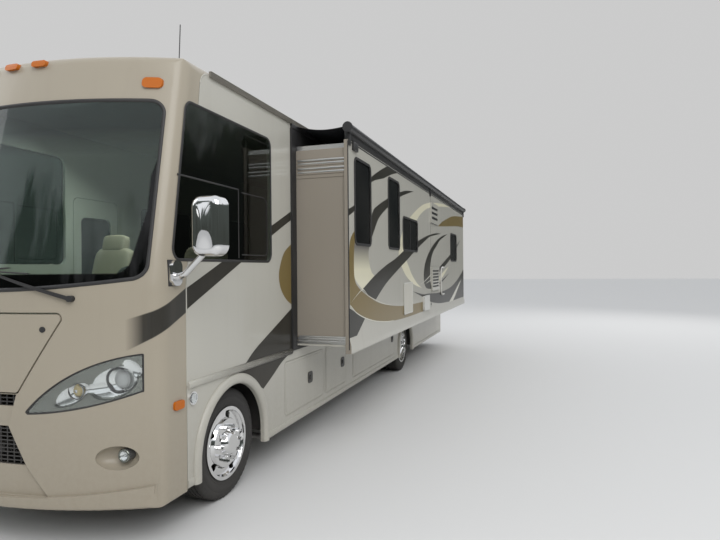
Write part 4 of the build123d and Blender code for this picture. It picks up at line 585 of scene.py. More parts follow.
def windscreen_bands(tree):
    """Clear glass with a black ceramic border all round and a tinted band at the top."""
    x, _, z = coach_axes(tree)
    # Distance out of a rounded rectangle 90 mm or so inside the pane
    over_x = maths(tree, "SUBTRACT", maths(tree, "ABSOLUTE", x), 0.985)
    over_z = maths(tree, "SUBTRACT", maths(tree, "ABSOLUTE", maths(tree, "SUBTRACT", z, 2.49)), 0.50)
    corner_x = maths(tree, "MAXIMUM", over_x, 0.0)
    corner_z = maths(tree, "MAXIMUM", over_z, 0.0)
    square_x = maths(tree, "MULTIPLY", corner_x, corner_x)
    square_z = maths(tree, "MULTIPLY", corner_z, corner_z)
    away = maths(tree, "SQRT", maths(tree, "ADD", square_x, square_z))
    # The border is widest along the foot and thins out towards the head
    border_low = remap(tree, z, 1.95, 2.35, 0.075, 0.150)
    border_start = maths(tree, "ADD", border_low, remap(tree, z, 2.60, 2.85, 0.0, 0.060))
    border = remap(tree, maths(tree, "SUBTRACT", away, border_start), 0.0, 0.010)
    tint = remap(tree, z, 2.75, 2.95, 0.0, 0.75)
    pane = mixed(tree, tint, (0.62, 0.80, 0.72), (0.10, 0.14, 0.17))
    return mixed(tree, border, pane, (0.004, 0.004, 0.004))


def glazed(name, colour, roughness, film_amount=0.05, transmission=0.0, ior=1.45, wave=0.0004, gloss=0.5):
    """Glass or clear plastic with a slow waviness and a trace of dust."""
    material, shader = fresh_material(name, colour, roughness)
    shader.inputs["Transmission Weight"].default_value = transmission
    shader.inputs["Specular IOR Level"].default_value = gloss
    shader.inputs["IOR"].default_value = ior
    add_film(material, shader, film_amount)
    add_grain(material, shader, 60.0, 1.6, 0.02, wave)
    return material


dark_glass = glazed("dark_glass", (0.003, 0.004, 0.005), 0.02, 0.005, ior=1.12, wave=0.0010)
cab_glass = glazed("cab_glass", (0.20, 0.25, 0.23), 0.0, 0.005, 1.0, 1.30, 0.0006)
windscreen_glass, windscreen_shader = fresh_material("windscreen_glass", (0.5, 0.5, 0.5), 0.012)
windscreen_shader.inputs["Transmission Weight"].default_value = 0.985
windscreen_shader.inputs["IOR"].default_value = 1.40
windscreen_glass.node_tree.links.new(
    windscreen_bands(windscreen_glass.node_tree), windscreen_shader.inputs["Base Color"]
)
add_grain(windscreen_glass, windscreen_shader, 60.0, 0.9, 0.01, 0.0006)
dressed("windscreen", windscreen_glass)
coated(black_trim, "wipers")
dressed("fixed_windows", dark_glass, (cab_glass, lambda middle, normal: middle.y < 2.1))

# Doors and trim: the entry door and the luggage doors are hinged panels of the walls' own
# laminate, with black locks and handles. Bronze rails run along the walls' heads.
dark_vinyl = painted("dark_stripe", stripe_dark, 0.30, 0.06, 0.15, gloss=0.15)
rail_bronze = moulded("bronze_rail", (0.21, 0.195, 0.165), 0.42, 0.3)
dressed(
    "side_trim",
    wall_gelcoat,
    (rail_bronze, lambda middle, normal: middle.z > 3.3),
    (dark_vinyl, lambda middle, normal: middle.x > 0 and 1.03 < middle.z < 1.13 and 1.49 < middle.y < 2.5),
)
dressed(
    "entry_door",
    wall_gelcoat,
    (
        dark_glass,
        lambda middle, normal: 1.72 < middle.z < 2.53 and 2.28 < middle.y < 2.70 and middle.x > -half_width,
    ),
    (black_trim, lambda middle, normal: middle.x < -half_width - 0.001),
)
bay_doors = (
    "left_bay_door_front",
    "left_bay_door_middle",
    "left_bay_door_rear",
    "right_bay_door_front",
    "right_bay_door_rear",
)
for door_name in bay_doors:
    dressed(door_name, wall_gelcoat, (black_trim, lambda middle, normal: abs(middle.x) > half_width + 0.0035))

# Lamps: black housings let into the cap, open at the front for their reflectors, under
# clear covers, with chromed surrounds on the flanks. Amber marker lamps are screwed to the
# caps, and the tail lamps have red, amber and white lenses.
lamp_dark = moulded("lamp_housing", (0.070, 0.070, 0.072), 0.30, 0.0)
chrome = metal("chrome_plate", (0.80, 0.80, 0.80), 0.05, 0.04, (25.0, 25.0, 25.0), 0.00004)
lamp_glass = glazed("lamp_glass", (0.95, 0.97, 0.97), 0.01, 0.0, 0.97, 1.30, 0.0001)
amber_lens = glazed("amber_lens", (0.50, 0.125, 0.004), 0.12, 0.05, gloss=0.3)
red_lens = glazed("red_lens", (0.40, 0.008, 0.008), 0.10, 0.05)
white_lens = glazed("white_lens", (0.70, 0.70, 0.68), 0.08, 0.05)
fog_x, fog_z = 1.035, 0.663


def open_front(shape):
    """Takes the faces off the front of the lamps' housings, where reflectors are fitted."""
    shape.normal_update()
    fronts = []
    for face in shape.faces:
        middle = face.calc_center_median() - place(0.0, 0.0, 0.0)
        headlamp = middle.z > 0.9 and abs(middle.x) < half_width - 0.01
        fog_face = math.hypot(abs(middle.x) - fog_x, middle.z - fog_z) < 0.046
        if face.normal.y < -0.4 and (headlamp or fog_face):
            fronts.append(face)
    bmesh.ops.delete(shape, geom=fronts, context="FACES")


dressed(
    "headlamps",
    lamp_dark,
    (chrome, lambda middle, normal: abs(middle.x) > half_width - 0.001),
    reshape=open_front,
)
dressed("lamp_lenses", lamp_glass)
dressed("marker_lamps", amber_lens)
dressed(
    "tail_lamps",
    red_lens,
    (amber_lens, lambda middle, normal: 1.16 < middle.z < 1.25),
    (white_lens, lambda middle, normal: middle.z < 1.02),
)

# Mirrors: a plated head on an arm bolted to each corner of the cap. Its smooth front is
# slightly domed, and its glass looks back.
mirror_glass = metal("mirror_glass", (0.86, 0.87, 0.88), 0.01, 0.02, (6.0, 6.0, 6.0), 0.00001)
head_half_width, head_half_height = 0.068, 0.155
head_dome = 0.020


def crown_mirrors(shape):
    """Domes the flat front of each mirror's head, after cutting it into a grid."""
    shape.normal_update()
    for hand in (1.0, -1.0):
        middle = place(hand * 1.627, 0.41, 2.227)
        for way, half, cuts in (
            ((1.0, 0.0, 0.0), head_half_width, 9),
            ((0.0, 0.0, 1.0), head_half_height, 15),
        ):
            for cut in range(1, cuts):
                front = [
                    face
                    for face in shape.faces
                    if face.normal.y < -0.95 and abs((face.calc_center_median() - middle).y) < 0.002
                ]
                cut_through(shape, front, middle + Vector(way) * half * (2 * cut / cuts - 1), way)
        for vert in shape.verts:
            across = (vert.co.x - middle.x) / head_half_width
            upward = (vert.co.z - middle.z) / head_half_height
            if abs(vert.co.y - middle.y) < 0.002 and abs(across) < 1 and abs(upward) < 1:
                vert.co.y -= head_dome * (1 - across**2) * (1 - upward**2)


dressed(
    "mirrors",
    chrome,
    (mirror_glass, lambda middle, normal: normal.y > 0.95 and abs(middle.x) > 1.45),
    reshape=crown_mirrors,
)

# Roof and tail: a pale membrane over the roof, white moulded shrouds on its units, a
# ladder bent from drawn aluminium tube, and the rolled patio awning in its white case.
roof_skin = moulded("roof_membrane", (0.60, 0.60, 0.57), 0.65, 0.9, 120.0, 0.0008)
unit_plastic = moulded("white_shroud", (0.62, 0.61, 0.57), 0.40, 0.3)
aluminium = metal("drawn_aluminium", (0.62, 0.62, 0.61), 0.34, 0.15)
coated(roof_skin, "roof")
dressed(
    "roof_units",
    unit_plastic,
    (black_trim, lambda middle, normal: middle.z > 3.79 and normal.z < 0.5 and abs(middle.x) < 0.19),
)
dressed("ladder", aluminium)
dressed("patio_awning", unit_plastic)

# Slide-out room: a box of the same laminate, with taupe ends, that runs in and out of the
# left wall through a rubber-sealed frame. Its windows are dark glass in black rubber, over
# moulded vents and hatches, and a black roller at its head winds the topper.
taupe_gelcoat = painted("taupe_gelcoat", (0.285, 0.252, 0.207), 0.45, 0.10, 0.20)
cream_plastic = moulded("cream_plastic", (0.56, 0.54, 0.47), 0.40, 0.3)
gasket_rubber = moulded("gasket_rubber", (0.012, 0.012, 0.013), 0.60, 0.12)
coated(gasket_rubber, "slide_frame")
coated(aluminium, "slide_roof")
coated(wall_gelcoat, "slide_floor")
dressed(
    "slide_outer_wall",
    wall_gelcoat,
    (taupe_gelcoat, lambda middle, normal: normal.y < -0.9 and middle.y < 2.60),
)
dressed(
    "slide_end_walls",
    taupe_gelcoat,
    (aluminium, lambda middle, normal: middle.y < 2.5965 and middle.z < 1.22),
)
dressed("slide_windows", dark_glass, (gasket_rubber, lambda middle, normal: middle.x > slide_x + 0.0005))
# The foremost face of the low vent's black lattice
lattice_face = slide_x + 0.021
dressed(
    "slide_vents",
    wall_gelcoat,
    (
        black_trim,
        lambda middle, normal: middle.x < lattice_face and 6.962 < middle.y < 7.658 and abs(normal.y) < 0.5,
    ),
    (cream_plastic, lambda middle, normal: middle.y < 5.5),
    (unit_plastic, lambda middle, normal: 6.2 < middle.y < 6.66),
)
dressed("topper_roller", black_trim)

# Wheels: chromed steel rims, and on each a moulded tyre with a rounded sidewall, grooved
# tread and shoulder lugs, shown by a smooth cover in place of the frame's flat-sided one.
for side_name in ("left", "right"):
    dressed(f"front_rim_{side_name}", chrome)
    dressed(f"rear_rims_{side_name}", chrome)
tread_rubber = moulded(
    "tread_rubber", (0.019, 0.019, 0.020), 0.78, 0.35, 300.0, 0.0006, dust=(0.10, 0.09, 0.075)
)
tyre_profile = (
    # width from the tyre's middle, radius
    (0.103, 0.303),
    (0.110, 0.316),
    (0.118, 0.330),
    (0.1165, 0.336),
    (0.123, 0.352),
    (0.125, 0.372),
    (0.124, 0.392),
    (0.1195, 0.398),
    (0.120, 0.404),
    (0.115, 0.424),
    (0.107, 0.441),
    (0.100, 0.452),
    (0.092, 0.458),
    (0.062, 0.4595),
    (0.061, 0.448),
    (0.051, 0.448),
    (0.050, 0.460),
    (0.024, 0.460),
    (0.023, 0.448),
    (0.013, 0.448),
    (0.012, 0.460),
)
tyre_radius = 0.460
tyre_steps = 168


def tyre_cover(name, x, station, body):
    """A tyre at a width and station, its tread cut into lugs at every third step."""
    shape = bmesh.new()
    points = list(tyre_profile) + [(-across, radius) for across, radius in reversed(tyre_profile)]
    centre = place(x, station, tyre_radius)
    ring = [shape.verts.new(centre + Vector((across, 0.0, radius))) for across, radius in points]
    edges = [shape.edges.new(pair) for pair in zip(ring, ring[1:])]
    bmesh.ops.spin(
        shape,
        geom=ring + edges,
        cent=centre,
        axis=(1.0, 0.0, 0.0),
        angle=math.tau,
        steps=tyre_steps,
        use_merge=True,
        use_duplicate=False,
    )
    for vert in shape.verts:
        out = vert.co - centre
        radius = math.hypot(out.y, out.z)
        step = round(math.atan2(out.z, out.y) / math.tau * tyre_steps)
        shoulder = abs(out.x) > 0.060 and radius > 0.440
        if radius > 0.440 and step % 3 == (0 if out.x > 0 else 1) and (shoulder or radius > 0.455):
            keep = (radius - (0.007 if shoulder else 0.003)) / radius
            vert.co = centre + Vector((out.x, out.y * keep, out.z * keep))
    bmesh.ops.recalc_face_normals(shape, faces=shape.faces)
    return finished(name, shape, [tread_rubber], body, 35.0)


wheels = (
    # body, tyre node, station, widths of its tyres
    ("front_wheel_left", "front_tyre_left", 1.354, (1.088,)),
    ("front_wheel_right", "front_tyre_right", 1.354, (-1.088,)),
    ("rear_wheels_left", "rear_tyres_left", 7.504, (1.088, 0.778)),
    ("rear_wheels_right", "rear_tyres_right", 7.504, (-1.088, -0.778)),
)
for body_name, node_name, station, widths in wheels:
    for number, x in enumerate(widths):
        cover = tyre_cover(f"{node_name}_cover_{number}", x, station, body_name)
        if number == 0:
            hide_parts(node_name)

# Stripes: flat leaves of coloured film on the flanks, each drawn by its outline in stations
# and heights. A third value of 1 marks a sharp point; the rest run smoothly.


def smooth_outline(points, steps=8):
    """The outline's points with smooth curves drawn between them, closed on itself."""
    curve = []
    count = len(points)
    for index in range(count):
        start, end = Vector(points[index][:2]), Vector(points[(index + 1) % count][:2])
        before, after = Vector(points[index - 1][:2]), Vector(points[(index + 2) % count][:2])
        leave = (end - start) / 2 if len(points[index]) > 2 else (end - before) / 2
        arrive = (end - start) / 2 if len(points[(index + 1) % count]) > 2 else (after - start) / 2
        # No handle is longer than its own stretch, so that uneven points make no loops
        reach = (end - start).length
        leave *= min(1.0, reach / max(leave.length, 0.000001))
        arrive *= min(1.0, reach / max(arrive.length, 0.000001))
        for step in range(steps):
            t = step / steps
            curve.append(
                start * (2 * t**3 - 3 * t**2 + 1)
                + leave * (t**3 - 2 * t**2 + t)
                + end * (3 * t**2 - 2 * t**3)
                + arrive * (t**3 - t**2)
            )
    return curve


def octagon(front, rear, sill, head, corner):
    """Lines round a rectangle with cut corners, as points on them and the ways out."""
    return [
        ((front, sill), (-1, 0)),
        ((rear, sill), (1, 0)),
        ((front, sill), (0, -1)),
        ((front, head), (0, 1)),
        ((front, sill + corner), (-1, -1)),
        ((rear, sill + corner), (1, -1)),
        ((front, head - corner), (-1, 1)),
        ((rear, head - corner), (1, 1)),
    ]


def leaf(name, outline, layer, finish, surface_x, bounds, openings, body):
    """One flat leaf on a flank, cut off at its bounds and cut out round the openings."""
    hand = 1.0 if surface_x > 0 else -1.0
    x = surface_x + hand * (0.0006 + 0.0004 * layer)
    shape = bmesh.new()
    corners = [shape.verts.new(place(x, point.x, point.y)) for point in smooth_outline(outline)]
    shape.faces.new(corners)
    shape.normal_update()
    bmesh.ops.triangulate(shape, faces=shape.faces, ngon_method="EAR_CLIP")
    regions = [(octagon(*bounds, 0.0001), False)] + [(octagon(*opening, 0.05), True) for opening in openings]
    for lines, inside in regions:
        for (station, height), (way_y, way_z) in lines:
            bmesh.ops.bisect_plane(
                shape,
                geom=shape.verts[:] + shape.edges[:] + shape.faces[:],
                plane_co=place(x, station, height),
                plane_no=(0.0, way_y, way_z),
                dist=0.0001,
            )
        unwanted = []
        for face in shape.faces:
            middle = face.calc_center_median()
            within = all(
                (middle - place(x, station, height)).dot(Vector((0.0, way_y, way_z))) < 0.0
                for (station, height), (way_y, way_z) in lines
            )
            if within == inside:
                unwanted.append(face)
        bmesh.ops.delete(shape, geom=unwanted, context="FACES")
    # Slivers left by the cuts have no way to face, and would tilt the shading beside them
    bmesh.ops.dissolve_degenerate(shape, dist=0.0002, edges=shape.edges)
    bmesh.ops.triangulate(shape, faces=shape.faces)
    shape.normal_update()
    for face in shape.faces:
        if face.normal.x * hand < 0:
            face.normal_flip()
    shape.normal_update()
    if shape.faces:
        finished(name, shape, [finish], body)
    else:
        shape.free()


slide_stripes = (
    # name, layer, finish, outline
    ("fade", 0, "fade", (
        (2.78, 2.29), (2.735, 2.136), (2.724, 1.985), (2.747, 1.833), (3.0, 1.705, 1), (3.47, 1.845, 1),
        (3.345, 1.90), (3.265, 2.015), (3.25, 2.136), (3.38, 2.29, 1),
    )),
    ("cream_arc", 0, "cream", (
        (9.15, 3.233, 1), (8.38, 3.212), (7.56, 3.152), (6.85, 3.076), (6.32, 2.991), (5.79, 2.848),
        (5.32, 2.688), (5.03, 2.576), (4.85, 2.44), (4.69, 2.288), (4.63, 2.136), (4.706, 2.015),
        (4.82, 1.94), (5.03, 1.833), (5.265, 1.758), (5.62, 1.676), (6.15, 1.612, 1), (5.79, 1.697),
        (5.44, 1.833), (5.235, 1.955), (5.09, 2.045), (5.0, 2.136), (4.97, 2.30), (5.10, 2.47),
        (5.40, 2.60), (5.74, 2.667), (6.03, 2.788), (6.5, 2.924), (6.97, 3.009), (7.62, 3.091),
        (8.38, 3.167),
    )),
    ("tan_ring", 1, "tan", (
        (2.60, 2.20), (2.68, 2.29), (2.79, 2.34, 1), (2.78, 2.28), (2.735, 2.136), (2.724, 1.985),
        (2.735, 1.85), (2.80, 1.765), (3.0, 1.682), (3.324, 1.591), (3.676, 1.515), (4.265, 1.445),
        (4.97, 1.40), (6.26, 1.379, 1), (6.26, 1.221, 1), (4.85, 1.227), (4.03, 1.258), (3.5, 1.312),
        (3.088, 1.385), (2.794, 1.464), (2.588, 1.561, 1), (2.578, 2.05),
    )),
    ("tan_wing", 1, "tan", (
        (7.647, 2.724, 1), (8.147, 2.848), (8.735, 2.955), (9.265, 3.045), (10.03, 3.121), (11.3, 3.215, 1),
        (11.3, 2.95, 1), (10.03, 2.894), (9.147, 2.827), (8.38, 2.773),
    )),
    ("upper_swoosh", 2, "dark", (
        (2.50, 2.525, 1), (2.765, 2.606), (3.05, 2.79), (3.353, 2.979), (3.676, 3.106), (4.018, 3.221),
        (4.30, 3.30, 1), (4.80, 3.28, 1), (4.265, 3.161), (3.912, 3.061), (3.382, 2.933), (3.05, 2.71),
        (2.765, 2.545), (2.50, 2.45, 1),
    )),
    ("middle_swoosh", 2, "dark", (
        (3.30, 2.43, 1), (3.382, 2.555), (3.5, 2.645), (4.0, 2.803), (4.40, 2.905), (4.706, 2.985),
        (5.1, 3.06), (5.588, 3.112, 1), (5.088, 3.009), (4.706, 2.918), (4.118, 2.727), (3.676, 2.545),
        (3.47, 2.38), (3.382, 2.303), (3.30, 2.25, 1),
    )),
    ("great_swoosh", 3, "dark", (
        (3.0, 1.703, 1), (3.47, 1.848), (3.97, 1.97), (4.441, 2.061), (4.924, 2.182), (5.40, 2.28),
        (5.88, 2.364), (6.5, 2.47), (7.03, 2.536), (7.5, 2.582), (7.97, 2.60, 1), (7.5, 2.555),
        (6.853, 2.485), (6.5, 2.409), (5.88, 2.258), (5.512, 2.161), (5.029, 2.03), (4.735, 1.955),
        (3.97, 1.742), (3.5, 1.561, 1), (3.22, 1.622),
    )),
    ("front_wedge", 2, "dark", ((2.55, 1.535, 1), (3.088, 1.379, 1), (2.765, 1.2, 1), (2.55, 1.10, 1))),
    ("ring_swoosh", 2, "dark", (
        (8.735, 2.636, 1), (8.147, 2.567), (7.676, 2.485), (7.32, 2.394), (6.97, 2.288), (6.618, 2.136),
        (6.41, 2.0), (6.32, 1.864), (6.32, 1.712), (6.41, 1.636), (6.56, 1.59), (6.96, 1.565, 1),
        (6.96, 1.63, 1), (6.87, 1.70), (6.853, 1.833), (6.87, 1.985), (6.97, 2.106), (7.147, 2.227),
        (7.5, 2.348), (7.853, 2.47), (8.265, 2.545),
    )),
    ("rear_swoosh", 2, "dark", (
        (6.98, 1.80, 1), (7.5, 1.90), (7.9, 1.975), (8.38, 2.076), (9.09, 2.221), (9.97, 2.439),
        (10.65, 2.606, 1), (9.97, 2.379), (9.147, 2.136), (8.147, 1.924), (7.68, 1.833), (7.3, 1.72),
        (6.98, 1.62, 1),
    )),
    ("rear_sliver", 1, "cream", (
        (7.70, 1.755, 1), (8.2, 1.86), (8.85, 1.965, 1), (8.3, 1.80), (7.70, 1.67, 1),
    )),
    ("rear_vein", 2, "dark", ((7.70, 1.64, 1), (8.3, 1.735), (8.95, 1.83, 1), (8.3, 1.705), (7.70, 1.61, 1))),
    ("low_field", 2, "dark", (
        (5.5, 1.582, 1), (5.91, 1.536), (6.32, 1.50), (6.735, 1.494), (7.56, 1.47), (8.38, 1.485),
        (9.147, 1.53), (9.85, 1.621), (10.56, 1.758), (11.3, 1.94, 1), (11.3, 1.21, 1), (9.09, 1.227),
        (8.38, 1.242), (7.62, 1.273), (6.85, 1.348), (6.26, 1.455), (5.79, 1.53),
    )),
    ("low_flash", 4, "pale", (
        (8.45, 1.10, 1), (8.9, 1.22), (9.4, 1.34), (10.3, 1.565), (10.75, 1.66, 1), (10.35, 1.515),
        (9.6, 1.27), (9.1, 1.14, 1),
    )),
    ("ring_line", 4, "pale", (
        (2.60, 1.575, 1), (3.0, 1.708), (3.2, 1.634), (3.5, 1.566), (3.9, 1.495), (4.3, 1.452, 1),
        (3.9, 1.485), (3.5, 1.556), (3.2, 1.624), (3.0, 1.696),
    )),
    ("edge_line", 4, "pale", (
        (2.60, 1.56, 1), (2.794, 1.470), (3.088, 1.391), (3.5, 1.318), (4.03, 1.264), (4.4, 1.246, 1),
        (4.03, 1.252), (3.5, 1.306), (3.088, 1.379), (2.794, 1.458), (2.60, 1.545, 1),
    )),
    ("vein_line", 4, "pale", (
        (6.0, 1.665, 1), (6.45, 1.735), (6.95, 1.832, 1), (6.95, 1.815, 1), (6.45, 1.722),
    )),
    ("under_line", 4, "pale", ((6.3, 1.655, 1), (6.95, 1.735, 1), (6.95, 1.720, 1))),
)
wall_stripes = (
    ("window_band", 0, "dark", (
        (0.60, 1.767, 1), (0.706, 1.803), (1.206, 2.009), (1.6, 2.175), (2.055, 2.355), (2.494, 2.535),
        (2.8, 2.66, 1), (2.8, 2.57, 1), (2.494, 2.445), (2.055, 2.258), (1.51, 2.009), (1.055, 1.803),
        (0.706, 1.645), (0.60, 1.585, 1),
    )),
    ("crescent", 0, "tan", (
        (2.60, 2.26, 1), (2.494, 2.197), (2.327, 2.106), (2.236, 1.985), (2.197, 1.864), (2.236, 1.742),
        (2.342, 1.636), (2.494, 1.561), (2.60, 1.53, 1),
    )),
    ("arch_band", 1, "dark", (
        (1.373, 1.021, 1), (1.509, 1.091), (1.66, 1.182), (1.812, 1.252), (2.494, 1.53), (2.75, 1.64, 1),
        (2.75, 1.16, 1), (2.494, 1.085), (2.418, 1.061), (2.236, 1.0), (2.055, 0.909), (1.858, 0.818, 1),
        (1.70, 0.90), (1.55, 0.98),
    )),
)


def cream_fade(tree):
    """Film that runs from a warm grey at its top to cream lower down."""
    _, _, z = coach_axes(tree)
    return mixed(tree, remap(tree, z, 2.16, 1.92), (0.20, 0.185, 0.165), (0.76, 0.72, 0.54))


stripe_finishes = {
    "dark": dark_vinyl,
    "tan": painted("tan_stripe", (0.192, 0.138, 0.046), 0.30, 0.06, 0.15, gloss=0.2),
    "cream": painted("cream_stripe", (0.760, 0.720, 0.540), 0.30, 0.06, 0.10, gloss=0.25),
    "pale": painted("pale_line", (0.640, 0.625, 0.540), 0.30, 0.06, 0.10, gloss=0.25),
    "fade": painted("fading_stripe", (0.5, 0.5, 0.4), 0.30, 0.30, 0.10, pattern=cream_fade),
}
slide_panes = (
    # front, rear, sill, head
    (2.765, 3.340, 2.194, 3.106),
    (4.105, 4.680, 2.194, 3.106),
    (4.880, 5.840, 2.194, 2.665),
    (9.120, 9.990, 2.090, 2.676),
)
cab_panes = ((0.50, 2.04, 2.005, 3.18),)
slide_low, slide_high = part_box("slide_outer_wall")
slide_front = slide_low.y - datum
slide_rear = slide_high.y - datum


def lay_stripes(prefix, stripes, surface_x, bounds, openings, body):
    """A pattern's stripes on one surface. Bounds and openings are the front, rear, foot
    and head of the rectangles that the stripes are kept within and cut out round."""
    for name, layer, colour, outline in stripes:
        leaf(f"{prefix}_{name}", outline, layer, stripe_finishes[colour], surface_x, bounds, openings, body)


slide_bounds = (slide_front + 0.002, slide_rear - 0.002, 1.222, 3.232)
lay_stripes("slide", slide_stripes, slide_x, slide_bounds, slide_panes, "slide_room")
lay_stripes("left", wall_stripes, half_width, (0.694, 2.478, 0.40, 3.40), cab_panes, "coach")

# The right flank carries the same pattern mirrored, cut round its windows and its door,
# whose own part of the pattern swings with it.
door_low, door_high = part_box("entry_door")
door_front, door_rear = door_low.y - datum, door_high.y - datum
right_panes = cab_panes + ((3.25, 4.35, 2.05, 2.75), (5.20, 6.10, 2.05, 2.75), (8.40, 9.30, 2.05, 2.75))
door_panes = ((2.26, 2.72, 1.70, 2.55), (2.72, 2.82, 1.22, 1.44))
hidden = ("front_wedge", "low_flash", "vein_line", "under_line", "ring_line", "edge_line")
mirrored = [stripe for stripe in slide_stripes if stripe[0] not in hidden]
lay_stripes("right", mirrored, -half_width, (2.862, 11.19, 1.115, 3.44), right_panes, "coach")
door_bounds = (door_front + 0.004, door_rear - 0.004, door_low.z + 0.004, door_high.z - 0.004)
lay_stripes("door", mirrored, -half_width - 0.003, door_bounds, door_panes, "entry_door")
front_bounds = (0.694, door_front - 0.03, 0.40, 3.40)
lay_stripes("right_front", wall_stripes, -half_width, front_bounds, cab_panes, "coach")

# Seals and beads: rubber round the glass, a bead over each joint between panels, and the
# thin frames of the sliding panes, all drawn as flattened tubes along lines.


def rim_lines(node_name, test):
    """The closed lines round the faces of a CAD node that pass a test, longest first."""
    shape = merged(node_name)
    shape.normal_update()
    origin = place(0.0, 0.0, 0.0)
    chosen = {face for face in shape.faces if test(face.calc_center_median() - origin, face.normal)}
    beside = {}
    for edge in shape.edges:
        if sum(face in chosen for face in edge.link_faces) == 1:
            first, last = edge.verts
            beside.setdefault(first, []).append(last)
            beside.setdefault(last, []).append(first)
    lines = []
    while beside:
        vert = next(iter(beside))
        line = []
        while vert is not None:
            line.append(vert.co.copy())
            onward = beside.pop(vert)
            vert = next((other for other in onward if other in beside), None)
        lines.append(line)
    shape.free()
    return sorted(lines, key=lambda line: -sum((a - b).length for a, b in zip(line, line[1:])))


def thinned(line, least=0.006):
    """A line without the points that crowd closer than a distance."""
    kept = [line[0]]
    for point in line[1:]:
        if (point - kept[-1]).length > least:
            kept.append(point)
    return kept


def beads(name, lines, way, wide, high, finish, body="coach", slot="seal_rubber", closed=True, sides=8):
    """Flattened tubes along lines: wide and high are their half sizes, and way the direction
    that they stand out in."""
    shape = bmesh.new()
    for line in lines:
        count = len(line)
        rings = []
        for index, point in enumerate(line):
            before = line[index - 1] if closed or index else line[0]
            after = line[(index + 1) % count] if closed or index < count - 1 else line[-1]
            along = (after - before).normalized()
            upwards = (Vector(way) - along * along.dot(Vector(way))).normalized()
            sideways = along.cross(upwards)
            rings.append(
                [
                    shape.verts.new(
                        point
                        + sideways * wide * math.cos(math.tau * side / sides)
                        + upwards * high * math.sin(math.tau * side / sides)
                    )
                    for side in range(sides)
                ]
            )
        pairs = list(zip(rings, rings[1:])) + ([(rings[-1], rings[0])] if closed else [])
        for near_ring, far_ring in pairs:
            for side in range(sides):
                onward = (side + 1) % sides
                shape.faces.new((near_ring[side], near_ring[onward], far_ring[onward], far_ring[side]))
        if not closed:
            shape.faces.new(rings[0])
            shape.faces.new(rings[-1])
    bmesh.ops.recalc_face_normals(shape, faces=shape.faces)
    return finished(name, shape, [finish], body, 50.0)


def block(shape, low, high, radius=0.0):
    """A box between two corners, in widths, stations and heights, with rounded edges."""
    low, high = place(*low), place(*high)
    made = bmesh.ops.create_cube(shape, size=1.0)["verts"]
    bmesh.ops.scale(shape, vec=high - low, verts=made)
    bmesh.ops.translate(shape, vec=(low + high) / 2, verts=made)
    if radius:
        edges = list({edge for vert in made for edge in vert.link_edges})
        bmesh.ops.bevel(
            shape, geom=edges, offset=radius, segments=3, affect="EDGES", profile=0.5, material=-1
        )


seal_black = moulded("seal_black", (0.014, 0.014, 0.015), 0.50, 0.10, soften=0.0)
screen_lines = [thinned(line) for line in rim_lines("windscreen", lambda middle, normal: normal.y < -0.5)[:1]]
beads("windscreen_gasket", screen_lines, (0.0, -1.0, 0.2), 0.015, 0.012, seal_black)
for hand, side_word in ((1.0, "left"), (-1.0, "right")):
    pane_lines = [
        thinned(line)
        for line in rim_lines(
            "fixed_windows", lambda middle, normal: normal.x * hand > 0.9 and middle.x * hand > 1.27
        )
    ]
    beads(f"{side_word}_window_gaskets", pane_lines, (hand, 0.0, 0.0), 0.011, 0.006, seal_black)
    # The wall's front edge, up the cap's joint and over its top corner
    wall_front = [
        point
        for point in rim_lines(f"{side_word}_wall", lambda middle, normal: normal.x * hand > 0.9)[0]
        if point.y - datum < 1.0 and point.z > 0.4
    ]
    wall_front.sort(key=lambda point: point.z + point.y)
    joint_lines = [
        thinned([point for point in wall_front if point.z < 2.0], 0.02),
        thinned([point for point in wall_front if point.z > 3.19], 0.02),
    ]
    beads(
        f"{side_word}_joint_bead",
        joint_lines,
        (hand, 0.0, 0.0),
        0.006,
        0.004,
        wall_gelcoat,
        slot="wall_white",
        closed=False,
    )

for door_name in (*bay_doors, "entry_door"):
    hand = 1.0 if door_name.startswith("left") else -1.0
    edge_lines = rim_lines(
        door_name, lambda middle, normal: normal.x * hand > 0.9 and abs(middle.x) < half_width + 0.004
    )[:1]
    beads(
        f"{door_name}_edge",
        [thinned(line) for line in edge_lines],
        (hand, 0.0, 0.0),
        0.0045,
        0.0025,
        aluminium if door_name == "entry_door" else wall_gelcoat,
        body_of_node[door_name],
        "wall_white",
    )


def flank_line(x, *points):
    """Points on a flank from stations and heights."""
    return [place(x, station, height) for station, height in points]


# Cab windows: each has a fixed pane over a slider. A black bar parts them, and the
# slider's own thin black frame rings its pane.
for hand, side_word in ((1.0, "left"), (-1.0, "right")):
    x = hand * (half_width + 0.0005)
    beads(
        f"{side_word}_slider_bars",
        [flank_line(x, (0.60, 2.62), (1.44, 2.62)), flank_line(x, (1.44, 2.62), (1.44, 2.03))],
        (hand, 0.0, 0.0),
        0.007,
        0.003,
        seal_black,
        closed=False,
    )
    beads(
        f"{side_word}_slider_frame",
        [
            flank_line(
                x, (1.49, 2.60), (1.90, 2.60), (1.93, 2.58), (1.955, 2.55), (1.955, 2.10), (1.94, 2.075),
                (1.91, 2.06), (1.49, 2.06),
            )
        ],
        (hand, 0.0, 0.0),
        0.005,
        0.003,
        black_trim,
        closed=False,
    )

